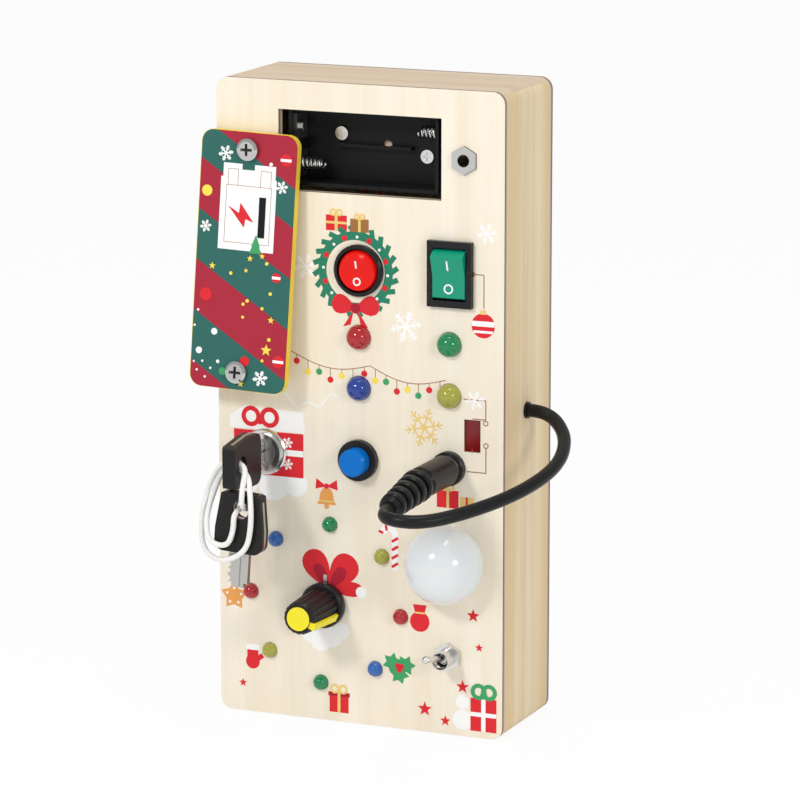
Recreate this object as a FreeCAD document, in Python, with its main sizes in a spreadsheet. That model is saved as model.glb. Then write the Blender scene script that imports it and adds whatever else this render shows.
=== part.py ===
# Wooden busy board: a hollow upright wooden box whose front carries switches, lamps, a key
# lock, a knob, a socket with its plug, and a swinging cover over the battery window.
# Frame: +X to the right as seen from the front, -Y out of the front face, +Z up.
# The origin is the middle of the flat bottom face. Lengths are in millimetres.
import FreeCAD, Part
import Sketcher
import math
import os
import re
from FreeCAD import Placement, Rotation, Vector

os.makedirs("parts", exist_ok=True)
doc = FreeCAD.newDocument("BusyBoard")

# Driving dimensions
SIZES = {
    "board_width": 100, "board_height": 210, "board_depth": 41,
    "board_thick": 8, "panel_thick": 3, "corner_radius": 4,
    "gap": 0.1, "running_gap": 0.05,
    "window_height": 26.2,
    "holder_width": 52, "holder_height": 25, "holder_depth": 12.5, "holder_wall": 1.2,
    "cell_pitch": 12.2, "prop_width": 40, "prop_height": 18, "contact_size": 8.5,
    "spring_wire": 0.7, "spring_big": 2.15, "spring_small": 1.6, "spring_length": 7,
    "nut_flats": 8, "nut_proud": 1, "nut_length": 5,
    "thread_hole": 4, "cover_width": 33.8, "cover_above": 5.2,
    "cover_thick": 3, "cover_corner": 4, "cover_stand_off": 1.4, "cover_tilt": 4.7,
    "cover_hang": 1.65, "screw_head": 7.2, "head_height": 2.1, "screw_shank": 3.9,
    "pivot_reach": 9.5, "lock_screw_reach": 6, "cover_hole": 4.5,
    "red_x": 0.2, "red_bezel": 16.8, "red_body": 15.2, "red_ball": 14,
    "green_bezel_width": 15.2, "green_bezel_height": 21.2,
    "green_body_width": 12.8, "green_body_height": 18.8, "green_paddle_width": 11,
    "green_paddle_reach": 8.3, "bezel_thick": 2, "rocker_throw": 9, "switch_depth": 15,
    "led_big": 8,
    "led_flange": 1.2, "led_leg": 0.5, "led_length": 4,
    "button_x": 0, "button_bezel": 13.4, "button_bush": 11.6,
    "button_cap": 9, "button_proud": 6.8, "button_travel": 2.5, "button_depth": 14,
    "lock_flange": 15.2, "lock_ring": 12.4, "lock_barrel": 11.6,
    "lock_depth": 20, "plug_dia": 9, "lock_proud": 3, "key_slot": 2.2,
    "key_thick": 2, "key_high": 7, "key_reach": 12, "bow_start": 8.8, "bow_length": 19.5,
    "bow_end": 13.6, "bow_wide": 16.8, "bow_thick": 4.6, "bow_hole": 6, "bow_bar": 2.2,
    "bow_core": 1.2, "spare_lean": 4, "hole_inset": 5.5,
    "lamp_radius": 12.8, "lamp_centre": 4.5, "lamp_wall": 1, "lamp_neck": 21,
    "knob_skirt": 14.9, "knob_foot": 12.6, "knob_top": 10.3,
    "knob_clear": 1.2, "skirt_high": 3, "knob_end": 21.5, "knob_disc": 7.8, "pot_shaft": 6,
    "pot_body": 16.8, "pot_depth": 9, "pot_bush": 6.9, "pot_flats": 10, "pot_tab_z": 8.5,
    "ring_turn": -3.6, "led_small": 5, "ring_board_width": 5,
    "toggle_bush": 5.9, "toggle_flats": 8, "toggle_proud": 7.6,
    "toggle_pivot": 3.5, "toggle_tip": 20.3, "toggle_throw": 12.5, "toggle_depth": 11,
    "bar_width": 5.4, "bar_height": 10.3, "bar_sink": 0.8,
    "jack_collar": 11.2, "collar_thick": 2.6, "jack_bush": 7.8, "jack_bore": 5.8,
    "jack_depth": 13, "sleeve_dia": 5.6, "sleeve_reach": 9.5, "grip_dia": 10.2,
    "grip_length": 20, "relief_length": 25.1, "relief_droop": 6.5, "relief_end": 7.6,
    "cable_dia": 4.3, "exit_y": -0.8, "grommet_dia": 5.4,
    "string_dia": 1.8, "back_screw_inset": 4, "back_screw_length": 13, "wire_dia": 1.2,
    "card_width": 60, "card_height": 40, "card_thick": 1.6,
}

# Columns keep their distance to the sides, the top group to the top, other rows their share
PLACES = {
    "right_column": "board_width / 2 - 18.6", "green_x": "board_width / 2 - 18.1",
    "bar_x": "board_width / 2 - 10.7", "lock_x": "16.9 - board_width / 2",
    "nut_spacing": "board_width - 27.4", "cover_below": "nut_spacing + 5.6",
    "window_width": "board_width - 43.5",
    "ring_radius": "board_width / 4 + 1.7", "knob_x": "ring_radius + 11.2 - board_width / 2",
    "knob_z": "ring_radius + 12.5", "window_z": "board_height - 22.4",
    "holder_z": "board_height - 21.6", "pivot_z": "board_height - 22.2",
    "red_z": "board_height * 150.3 / 210", "green_z": "board_height * 151.3 / 210",
    "led_row_high": "board_height * 128.5 / 210", "led_row_low": "board_height * 111.8 / 210",
    "exit_z": "board_height / 2", "bar_z": "board_height * 99.4 / 210",
    "card_z": "board_height * 95 / 210", "control_row": "board_height * 88.3 / 210",
    "lamp_z": "board_height * 57.3 / 210", "toggle_z": "board_height * 26.2 / 210",
    "spare_x": "lock_x + 3", "spare_y": "-board_depth / 2 - 24.5", "spare_z": "control_row - 13.9",
}
sheet = doc.addObject("Spreadsheet::Sheet", "Sizes")
NAMED = {**SIZES, **{alias: "=" + formula for alias, formula in PLACES.items()}}
for row, (alias, content) in enumerate(NAMED.items(), start=1):
    sheet.set(f"A{row}", alias)
    sheet.set(f"B{row}", str(content))
    sheet.setAlias(f"B{row}", alias)
doc.recompute()

NODES = {}
OUTWARD = Rotation(Vector(1, 0, 0), 90)
BACKWARD = Rotation(Vector(1, 0, 0), -90)
SIDEWAYS = Rotation(Vector(0, 1, 0), 90)


def val(alias):
    """The number that the sheet holds under this alias."""
    return float(sheet.get(alias))


def tied(text):
    """An expression in which each alias is read from the sheet."""
    return re.sub(r"[a-z][a-z_]+", lambda m: "Sizes." + m[0] if m[0] in NAMED else m[0], str(text))


def bind(obj, **expressions):
    for name, text in expressions.items():
        obj.setExpression(name, tied(text))
    return obj


def place(obj, x=0, y=0, z=0, turn=None):
    """Turn an object, then tie where its own origin stands."""
    if turn is not None:
        obj.Placement = Placement(Vector(0, 0, 0), turn)
    for axis, text in zip("xyz", (x, y, z)):
        obj.setExpression(f"Placement.Base.{axis}", tied(text))
    return obj


def rod(radius, length, x=0, y=0, z=0, turn=None):
    obj = doc.addObject("Part::Cylinder", "Rod")
    return place(bind(obj, Radius=radius, Height=length), x, y, z, turn)


def taper(low, high, length, x=0, y=0, z=0, turn=None):
    obj = doc.addObject("Part::Cone", "Taper")
    return place(bind(obj, Radius1=low, Radius2=high, Height=length), x, y, z, turn)


def ball(radius, x=0, y=0, z=0):
    return place(bind(doc.addObject("Part::Sphere", "Ball"), Radius=radius), x, y, z)


def block(wide, high, deep, x=0, y=0, z=0):
    """A block centred on x and y that starts at z."""
    obj = bind(doc.addObject("Part::Box", "Block"), Length=wide, Width=high, Height=deep)
    return place(obj, f"({x}) - ({wide}) / 2", f"({y}) - ({high}) / 2", z)


def hexagon(flats, length, z=0, x=0):
    obj = doc.addObject("Part::Prism", "Hexagon")
    obj.Polygon = 6
    bind(obj, Circumradius=f"({flats}) / sqrt(3)", Height=length)
    return place(obj, x, 0, z, Rotation(Vector(0, 0, 1), 90))


def join(*shapes):
    obj = doc.addObject("Part::MultiFuse", "Join")
    obj.Shapes = list(shapes)
    return obj


def group(*shapes):
    obj = doc.addObject("Part::Compound", "Group")
    obj.Links = list(shapes)
    return obj


def cut(base, *tools):
    obj = doc.addObject("Part::Cut", "Cut")
    obj.Base = base
    obj.Tool = tools[0] if len(tools) == 1 else join(*tools)
    return obj


def overlap(first, second):
    obj = doc.addObject("Part::MultiCommon", "Overlap")
    obj.Shapes = [first, second]
    return obj


def solid(shape, name="Shaped"):
    obj = doc.addObject("Part::Feature", name)
    obj.Shape = shape
    return obj


def node(label, obj):
    obj.Label = label
    NODES[label] = obj
    return obj


def front(label, obj, x, z):
    """A piece built with its own +Z out of the front face, set at a place on that face."""
    return node(label, place(obj, x, "-board_depth / 2", z, OUTWARD))


def plate(wide, high, thick, radius, mid_y=0):
    """A plate with rounded corners: a sketched rectangle, a pad and a fillet."""
    body = doc.addObject("PartDesign::Body", "Plate")
    plane = next(o for o in body.Origin.OriginFeatures if o.Role == "XY_Plane")
    sketch = body.newObject("Sketcher::SketchObject", "Outline")
    sketch.AttachmentSupport = [(plane, "")]
    sketch.MapMode = "FlatFace"
    corners = [Vector(-9, -9, 0), Vector(9, -9, 0), Vector(9, 9, 0), Vector(-9, 9, 0)]
    for start in range(4):
        sketch.addGeometry(Part.LineSegment(corners[start], corners[(start + 1) % 4]), False)
    rules = [
        ("Coincident", 0, 2, 1, 1), ("Coincident", 1, 2, 2, 1), ("Coincident", 2, 2, 3, 1),
        ("Coincident", 3, 2, 0, 1), ("Horizontal", 0), ("Horizontal", 2), ("Vertical", 1),
        ("Vertical", 3), ("Symmetric", 0, 1, 1, 2, -1, 1),
        ("DistanceX", 0, 1, 0, 2, 18.0), ("DistanceY", 1, 1, 1, 2, 18.0),
    ]
    for parts in rules:
        sketch.addConstraint(Sketcher.Constraint(*parts))
    sketch.setExpression("Constraints[9]", tied(wide))
    sketch.setExpression("Constraints[10]", tied(high))
    pad = body.newObject("PartDesign::Pad", "Pad")
    pad.Profile = sketch
    pad.setExpression("Length", tied(thick))
    doc.recompute()
    upright = [f"Edge{i}" for i, e in enumerate(pad.Shape.Edges, 1)
               if abs(e.tangentAt(e.FirstParameter).z) > 0.9]
    rounding = body.newObject("PartDesign::Fillet", "Rounding")
    rounding.Base = (pad, upright)
    rounding.setExpression("Radius", tied(radius))
    body.Tip = rounding
    return place(body, 0, mid_y, 0)


def run(path):
    """A wire of straight runs with a tangent arc at each turn, and the arc radii."""
    points = [Vector(*p) for p in path]
    runs = [(b - a).Length for a, b in zip(points, points[1:])]
    edges = []
    radii = []
    start = points[0]
    for i in range(1, len(points) - 1):
        into = (points[i] - points[i - 1]).normalize()
        onward = (points[i + 1] - points[i]).normalize()
        half = into.getAngle(onward) / 2
        reach = 0.45 * min(runs[i - 1], runs[i])
        radius = reach / math.tan(half)
        radii.append(round(radius, 2))
        first = points[i] - into * reach
        last = points[i] + onward * reach
        inward = (onward - into).normalize()
        middle = points[i] + inward * (radius / math.cos(half) - radius)
        edges.append(Part.LineSegment(start, first).toShape())
        edges.append(Part.Arc(first, middle, last).toShape())
        start = last
    edges.append(Part.LineSegment(start, points[-1]).toShape())
    return Part.Wire(edges), radii


def swept(wire, diameter, name):
    """A round solid swept along a wire; prints its volume against section times length."""
    start = wire.Edges[0].valueAt(wire.Edges[0].FirstParameter)
    along = wire.Edges[0].tangentAt(wire.Edges[0].FirstParameter)
    ring = Part.Wire(Part.Circle(start, along, diameter / 2).toShape())
    shape = wire.makePipeShell([ring], True, False)
    ideal = math.pi * diameter ** 2 / 4 * wire.Length
    print(name, "volume", round(shape.Volume, 2), "section x length", round(ideal, 2))
    return shape


def coil(wide, narrow, length, turns, wire_dia, name):
    """A coil about +Z from z = 0, as pairs of arcs between its quarter turns."""
    steps = int(turns * 4)

    def at(step):
        share = step / steps
        radius = wide + (narrow - wide) * share
        angle = step * math.pi / 2
        return Vector(radius * math.cos(angle), radius * math.sin(angle), length * share)

    def way(step):
        ahead = at(step + 0.01) - at(step - 0.01)
        return ahead.normalize()

    edges = []
    for step in range(steps):
        a, b, ta, tb = at(step), at(step + 1), way(step), way(step + 1)
        chord = b - a
        both = ta + tb
        flat = 2 * (1 - ta.dot(tb))
        root = (chord.dot(both)) ** 2 + flat * chord.dot(chord)
        arm = (-chord.dot(both) + math.sqrt(root)) / flat
        knee = (a + ta * arm + b - tb * arm) * 0.5
        for one, two, heading in ((a, knee, ta), (knee, b, None)):
            if heading is None:
                heading = ((b - tb * arm) - (a + ta * arm)).normalize()
            span = two - one
            turn = heading.getAngle(span)
            normal = (span.cross(heading)).cross(span)
            normal.normalize()
            lift = span.Length / 2 * math.tan(turn / 2)
            edges.append(Part.Arc(one, (one + two) * 0.5 + normal * lift, two).toShape())
    shape = swept(Part.Wire(edges), wire_dia, name)
    print(name, "least gap between coils", round(length / turns - wire_dia, 2))
    return shape


# Box: four mitred boards between two plywood panels
inner = plate("board_width - 2 * board_thick", "board_height - 2 * board_thick",
              "board_depth", 1)
outer = plate("board_width", "board_height", "board_depth - 2 * panel_thick", "corner_radius")
for shape in (inner, outer):
    place(shape, 0, 0, "panel_thick - board_depth")
ring = cut(outer, inner)
grommet_hole = rod("grommet_dia / 2 + running_gap", "board_thick + 4",
                   "board_width / 2 - board_thick - 2", "exit_z - board_height / 2",
                   "-(exit_y + board_depth / 2)", SIDEWAYS)
sides = {"frame_bottom_board": (0, "board_width", "board_height"),
         "frame_right_board": (90, "board_height", "board_width"),
         "frame_top_board": (180, "board_width", "board_height"),
         "frame_left_board": (270, "board_height", "board_width")}
for label, (turn, length, across) in sides.items():
    wedge = doc.addObject("Part::Wedge", "Mitre")
    bind(wedge, Xmin=f"-{length} / 2", Xmax=f"{length} / 2", Ymin=f"-{across} / 2",
         Ymax=f"board_thick - {across} / 2", Zmin="-board_depth", Zmax=0,
         X2min=f"board_thick - {length} / 2", X2max=f"{length} / 2 - board_thick",
         Z2min="-board_depth", Z2max=0)
    wedge.Placement = Placement(Vector(0, 0, 0), Rotation(Vector(0, 0, 1), turn))
    board = overlap(ring, wedge)
    if turn == 90:
        board = cut(board, grommet_hole)
    front(label, board, 0, "board_height / 2")

# Front panel with an opening for each thing it carries
nut_x = "nut_spacing / 2"
up = "- board_height / 2"
slab = plate("board_width", "board_height", "panel_thick", "corner_radius")
place(slab, 0, 0, "-panel_thick")
holes = [block("window_width", "window_height", 9, "red_x", f"window_z {up}", -6)]
for side in (-1, 1):
    opening = hexagon("nut_flats + 2 * gap", 9, -6)
    holes.append(place(opening, f"{side} * {nut_x}", f"pivot_z {up}", -6))
holes.append(rod("red_body / 2 + gap", 9, "red_x", f"red_z {up}", -6))
holes.append(block("green_body_width + 2 * gap", "green_body_height + 2 * gap", 9,
                   "green_x", f"green_z {up}", -6))
BIG = {"large_led_red": ("button_x", "led_row_high"),
       "large_led_blue": ("button_x", "led_row_low"),
       "large_led_green": ("right_column", "led_row_high"),
       "large_led_yellow": ("right_column", "led_row_low")}
for x, z in BIG.values():
    holes.append(rod("led_big / 2 + gap", 9, x, f"{z} {up}", -6))
SMALL = []
for turn in range(8):
    x = f"knob_x + ring_radius * cos(ring_turn + 45 * {turn})"
    z = f"knob_z + ring_radius * sin(ring_turn + 45 * {turn})"
    SMALL.append((x, z))
    holes.append(rod("led_small / 2 + gap", 9, x, f"{z} {up}", -6))
for radius, x, z in (("button_bush / 2", "button_x", "control_row"),
                     ("lock_barrel / 2", "lock_x", "control_row"),
                     ("jack_bush / 2", "right_column", "control_row"),
                     ("lamp_neck / 2", "right_column", "lamp_z"),
                     ("pot_bush / 2", "knob_x", "knob_z"),
                     ("toggle_bush / 2", "right_column", "toggle_z")):
    holes.append(rod(f"{radius} + gap", 9, x, f"{z} {up}", -6))
holes.append(block(1.4, 2.8, 9, "knob_x", f"knob_z + pot_tab_z {up}", -6))
holes.append(block("bar_width + 2 * gap", "bar_height + 2 * gap", 9,
                   "bar_x", f"bar_z {up}", -6))
front("front_panel", cut(slab, *holes), 0, "board_height / 2")

# Back panel and its six countersunk screws
backing = plate("board_width", "board_height", "panel_thick", "corner_radius")
place(backing, 0, 0, "-board_depth")
drills = [(f"{column} * (board_width / 2 - back_screw_inset)",
           f"{level} * (board_height / 2 - 4 * back_screw_inset)")
          for column in (-1, 1) for level in (-1, 0, 1)]
tools = []
screws = []
for x, y in drills:
    tools.append(rod("1.55", "back_screw_length + 3", x, y, "-board_depth"))
    tools.append(taper("2.9", "1.5", 1.5, x, y, "-board_depth"))
    screw = join(taper("2.8", "1.4", 1.5, x, y, "-board_depth + 0.02"),
                 rod("1.45", "back_screw_length", x, y, "-board_depth + 0.5"))
    cross = join(block(3, 0.7, 1.3, x, y, "-board_depth - 0.4"),
                 block(0.7, 3, 1.3, x, y, "-board_depth - 0.4"))
    screws.append(cut(screw, cross))
front("back_panel", cut(backing, *tools), 0, "board_height / 2")
front("back_panel_screws", group(*screws), 0, "board_height / 2")
for label in ("frame_left_board", "frame_right_board"):
    bores = [place(rod(1.5, "back_screw_length + 3"), x, "board_depth / 2 - back_screw_length - 3",
                   f"{y} + board_height / 2", BACKWARD) for x, y in drills]
    bored = cut(NODES[label], *bores)
    NODES[label].Label = label + "_blank"
    node(label, bored)

# Battery holder with its springs, contacts, screws and wooden support
depth = "holder_depth + panel_thick"
tray = block("holder_width", "holder_height", "holder_depth", 0, 0, f"-({depth})")
well = block("holder_width - 2 * holder_wall", "holder_height - 2 * holder_wall", "holder_depth",
             0, 0, f"holder_wall - ({depth})")
ridge = block("holder_width - 26", 1, 3, 0, 0, f"holder_wall - ({depth}) - 0.2")
floor = f"holder_wall - ({depth})"
screw_spots = [("-12", "3.6"), ("17.8", "-2.3")]
pilot = [rod(1.2, 6, x, y, f"{floor} - 4") for x, y in screw_spots]
pilot.append(rod(1.6, 6, 3.65, 0.5, f"{floor} - 4"))
pilot.append(block(1.8, 1.8, 3, -3, "-holder_height / 2", -11))
pilot.append(block(1.8, 1.8, 3, 3, "-holder_height / 2", -11))
front("battery_holder", cut(join(cut(tray, well), ridge), *pilot), "red_x", "holder_z")
prop = block("prop_width", "prop_height", "board_depth - 2 * panel_thick - holder_depth",
             0, 0, "panel_thick - board_depth")
sockets = [rod(1.1, 12, x, y, f"-({depth}) - 6") for x, y in screw_spots]
front("holder_support_block", cut(prop, *sockets), "red_x", "holder_z")
fixings = []
for x, y in screw_spots:
    body = join(rod(1.05, 7, x, y, f"{floor} - 7"), rod(2.2, 1.2, x, y, floor))
    slot = join(block(2.6, 0.6, 1, x, y, f"{floor} + 0.6"),
                block(0.6, 2.6, 1, x, y, f"{floor} + 0.6"))
    fixings.append(cut(body, slot))
front("battery_holder_screws", group(*fixings), "red_x", "holder_z")
lane = "cell_pitch / 2"
end = "holder_width / 2 - holder_wall"
strips = []
for side, level in ((-1, -1), (-1, 1), (1, -1), (1, 1)):
    strips.append(block(0.5, "contact_size", "contact_size", f"{side} * ({end} - 0.3)",
                        f"{level} * {lane}", f"{floor} + 0.4"))
for side, level in ((-1, 1), (1, -1)):
    strips.append(place(bind(doc.addObject("Part::Cylinder", "Rod"), Radius=1.8, Height=0.9),
                        f"{side} * ({end} - 0.55) - 0.45 - {side} * 0.5", f"{level} * {lane}",
                        f"{floor} + 4.6", SIDEWAYS))
front("battery_contacts", group(*strips), "red_x", "holder_z")
spring_shape = coil(val("spring_big"), val("spring_small"), val("spring_length"), 5,
                    val("spring_wire"), "battery spring")
curls = []
for side, turn in ((1, -90), (-1, 90)):
    curl = solid(spring_shape, "Curl")
    curls.append(place(curl, f"{side} * ({end} - 0.95)", f"{side} * {lane}", f"{floor} + 4.6",
                       Rotation(Vector(0, 1, 0), turn)))
front("battery_springs", group(*curls), "red_x", "holder_z")

# Two hexagonal nuts, the cover and its two screws
nuts = []
for side in (-1, 1):
    nut = cut(hexagon("nut_flats", "nut_length", "nut_proud - nut_length"),
              rod("thread_hole / 2", 20, 0, 0, -10))
    nuts.append(place(nut, f"{side} * {nut_x}"))
front("cover_hex_nuts", group(*nuts), 0, "pivot_z")


def cross_screw(reach):
    """A pan head on a round stem, with a cross recess; z = 0 is under the head."""
    head = join(rod("screw_head / 2", "head_height - 0.6"),
                taper("screw_head / 2", "screw_head / 2 - 0.9", 0.6, 0, 0, "head_height - 0.6"),
                rod("screw_shank / 2", f"{reach} + 1", 0, 0, f"-({reach})"))
    return cut(head, block(4, 0.9, 2, 0, 0, "head_height - 1.1"),
               block(0.9, 4, 2, 0, 0, "head_height - 1.1"))


node("cover_pivot_screw", place(cross_screw("pivot_reach"), "-nut_spacing / 2",
                                "-board_depth / 2 - pivot_reach / 2", "pivot_z", OUTWARD))
COVER = Rotation(Vector(0, 1, 0), val("cover_hang")).multiply(
    Rotation(Vector(1, 0, 0), 90 - val("cover_tilt")))
lid = plate("cover_width", "cover_above + cover_below", "cover_thick", "cover_corner",
            "(cover_above - cover_below) / 2")
lock_down = "(nut_spacing - lock_screw_reach * sin(cover_tilt)) / cos(cover_tilt)"
lid = cut(lid, rod("cover_hole / 2", 9, 0, 0, -3),
          rod("thread_hole / 2", 9, 0, f"-{lock_down}", -3))
node("cover_plate", place(lid, "-nut_spacing / 2", "-board_depth / 2 - cover_stand_off",
                          "pivot_z", COVER))
lock_screw = join(cross_screw("lock_screw_reach + cover_thick + 0.05"),
                  rod("2.9", 0.8, 0, 0, "-cover_thick - 0.9"))
drop = f"({lock_down})"
out = "(cover_thick + 0.05)"
swing = "sin(cover_hang)"
lock_at = (f"-nut_spacing / 2 - ({drop} * cos(cover_tilt) - {out} * sin(cover_tilt)) * {swing}",
           f"-board_depth / 2 - cover_stand_off - {drop} * sin(cover_tilt) - {out} * cos(cover_tilt)",
           f"pivot_z - ({drop} * cos(cover_tilt) - {out} * sin(cover_tilt)) * cos(cover_hang)")
node("cover_lock_screw", place(lock_screw, *lock_at, COVER))

# Red round rocker switch
shell = join(rod("red_bezel / 2", "bezel_thick - 0.5"),
             taper("red_bezel / 2", "red_bezel / 2 - 0.5", 0.5, 0, 0, "bezel_thick - 0.5"),
             rod("red_body / 2", "switch_depth", 0, 0, "-switch_depth"))
tags = [block(0.8, 3, 5, x, 2, "-switch_depth - 4") for x in (-3, 3)]
axle = "red_ball + 0.8"
seat = rod(0.75, f"{axle} + 0.1", f"-({axle} + 0.1) / 2", 0, -1, SIDEWAYS)
shell = cut(shell, rod("red_ball / 2 + 0.15", 20, 0, 0, -9), seat)
front("red_rocker_housing", join(shell, *tags), "red_x", "red_z")


def notch(height, slope):
    """The space above two faces that rise from a line along X at this height."""
    halves = []
    for turn in (slope, -slope):
        above = block(40, 40, 20)
        tilted = group(above)
        halves.append(place(tilted, 0, 0, height, Rotation(Vector(1, 0, 0), turn)))
    return overlap(*halves)


rocker = cut(ball("red_ball / 2"), notch(3.3, val("rocker_throw")))
rocker = join(rocker, rod(0.7, axle, f"-({axle}) / 2", 0, 0, SIDEWAYS))
node("red_rocker_paddle", place(rocker, "red_x", "1 - board_depth / 2", "red_z",
                                Rotation(Vector(1, 0, 0), 90 + val("rocker_throw"))))

# Green rectangular rocker switch
shell = join(block("green_bezel_width", "green_bezel_height", "bezel_thick"),
             block("green_body_width", "green_body_height", "switch_depth", 0, 0, "-switch_depth"))
well = block("green_paddle_width + 0.2", "2 * green_paddle_reach + 0.3", 20, 0, 0, -11)
tags = [block(0.8, 3, 5, x, 2, "-switch_depth - 4") for x in (-3, 3)]
front("green_rocker_housing", join(cut(shell, well), *tags), "green_x", "green_z")
rocker = rod("green_paddle_reach", "green_paddle_width", "-green_paddle_width / 2", 0, 0, SIDEWAYS)
rocker = cut(rocker, notch(3.9, val("rocker_throw")))
node("green_rocker_paddle", place(rocker, "green_x", "1.5 - board_depth / 2", "green_z",
                                  Rotation(Vector(1, 0, 0), 90 + val("rocker_throw"))))


# Lamps: four large in two columns, eight small in a ring, a wide dome and a bar
def lamp(diameter, legs, x, z):
    radius = f"{diameter} / 2"
    return join(rod(f"{radius} + 0.5", "led_flange", x, z, "-panel_thick - led_flange"),
                rod(radius, "panel_thick + led_flange + 0.3", x, z, "-panel_thick - led_flange"),
                ball(radius, x, z, 0.3),
                rod("led_leg / 2", legs, f"{x} - 1.2", z, f"-panel_thick - led_flange - {legs}"),
                rod("led_leg / 2", legs, f"{x} + 1.2", z, f"-panel_thick - led_flange - {legs}"))


for label, (x, z) in BIG.items():
    front(label, lamp("led_big", "led_length", 0, 0), x, z)
colours = ["red", "yellow", "green", "blue", "red", "yellow", "green", "blue"]
for colour in ("green", "blue", "yellow", "red"):
    which = [lamp("led_small", "led_length + 0.8", f"({x})", f"({z} {up})")
             for (x, z), tint in zip(SMALL, colours) if tint == colour]
    front("small_leds_" + colour, group(*which), 0, "board_height / 2")
ring_board = cut(rod("ring_radius + ring_board_width / 2", 1.6, 0, 0, -10.7),
                 rod("ring_radius - ring_board_width / 2", 9, 0, 0, -14))
front("led_ring_board", ring_board, "knob_x", "knob_z")
below = block(60, 60, 30, 0, 0, -30)
dome = cut(ball("lamp_radius", 0, 0, "lamp_centre"), below)
hollow = cut(ball("lamp_radius - lamp_wall", 0, 0, "lamp_centre"), block(60, 60, 30, 0, 0, -30.2))
rim = "sqrt(lamp_radius ^ 2 - lamp_centre ^ 2)"
neck = cut(join(rod("lamp_neck / 2", 6, 0, 0, -6), rod(rim, 1)),
           rod("lamp_neck / 2 - lamp_wall", 20, 0, 0, -8))
front("bulb_dome", join(cut(dome, hollow, rod("lamp_neck / 2 - lamp_wall", 9, 0, 0, -3)), neck),
      "right_column", "lamp_z")
base = cut(join(rod("lamp_neck / 2", 1.9, 0, 0, -8), rod("led_small / 2 + 1.5", 4, 0, 0, -7)),
           rod(1, 9, 0, "lamp_neck / 2 - 2", -10))
front("bulb_led_base", base, "right_column", "lamp_z")
bar = join(block("bar_width", "bar_height", "panel_thick - bar_sink", 0, 0, "-panel_thick"),
           block("bar_width - 0.2", "bar_height + 3", 1.5, 0, 0, "-panel_thick - 1.5"))
front("red_light_window", bar, "bar_x", "bar_z")

# Push button
bush = join(rod("button_bezel / 2", 2.2),
            rod("button_bush / 2", "button_depth", 0, 0, "-button_depth"))
bore = join(rod("button_cap / 2 + running_gap", 9, 0, 0, -4),
            rod("button_cap / 2 + 0.6", 8.6, 0, 0, -10))
front("blue_button_housing", cut(bush, bore), "button_x", "control_row")
front("blue_button_nut", cut(hexagon(14, 2.5, "-panel_thick - 2.5"),
                             rod("button_bush / 2 + running_gap", 9, 0, 0, -9)),
      "button_x", "control_row")
cap = join(rod("button_cap / 2", "button_proud + 1.9 - 0.6", 0, 0, -1.9),
           taper("button_cap / 2", "button_cap / 2 - 0.6", 0.6, 0, 0, "button_proud - 0.6"),
           rod("button_cap / 2 + 0.5", 1.5, 0, 0, -2.95))
front("blue_button_cap", cap, "button_x", "control_row")
coil_shape = coil(2.8, 2.8, 5.6, 4, 0.6, "button spring")
button_coil = place(solid(coil_shape, "Curl"), 0, 0, -9.35)
front("blue_button_spring", group(button_coil), "button_x", "control_row")

# Key lock with its turning plug
flange = join(rod("lock_flange / 2", 1.1),
              taper("lock_flange / 2", "lock_flange / 2 - 0.5", 0.5, 0, 0, 1.1),
              rod("lock_ring / 2", "lock_proud"),
              rod("lock_barrel / 2", "lock_depth", 0, 0, "-lock_depth"),
              block(8, 5, 4, 0, 0, "-lock_depth - 3"))
lock = cut(flange, rod("plug_dia / 2 + running_gap", 30, 0, 0, "-lock_depth + 3"))
front("key_lock_housing", lock, "lock_x", "control_row")
front("key_lock_nut", cut(hexagon(14, 2.5, "-panel_thick - 2.5"),
                          rod("lock_barrel / 2 + running_gap", 9, 0, 0, -9)),
      "lock_x", "control_row")
plug = cut(rod("plug_dia / 2", "lock_depth - 3.1 + lock_proud + 0.2", 0, 0, "3.1 - lock_depth"),
           block("key_slot", "key_high + 0.2", 25, 0, 0, "0.5 - key_reach"))
front("key_lock_plug", plug, "lock_x", "control_row")

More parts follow.
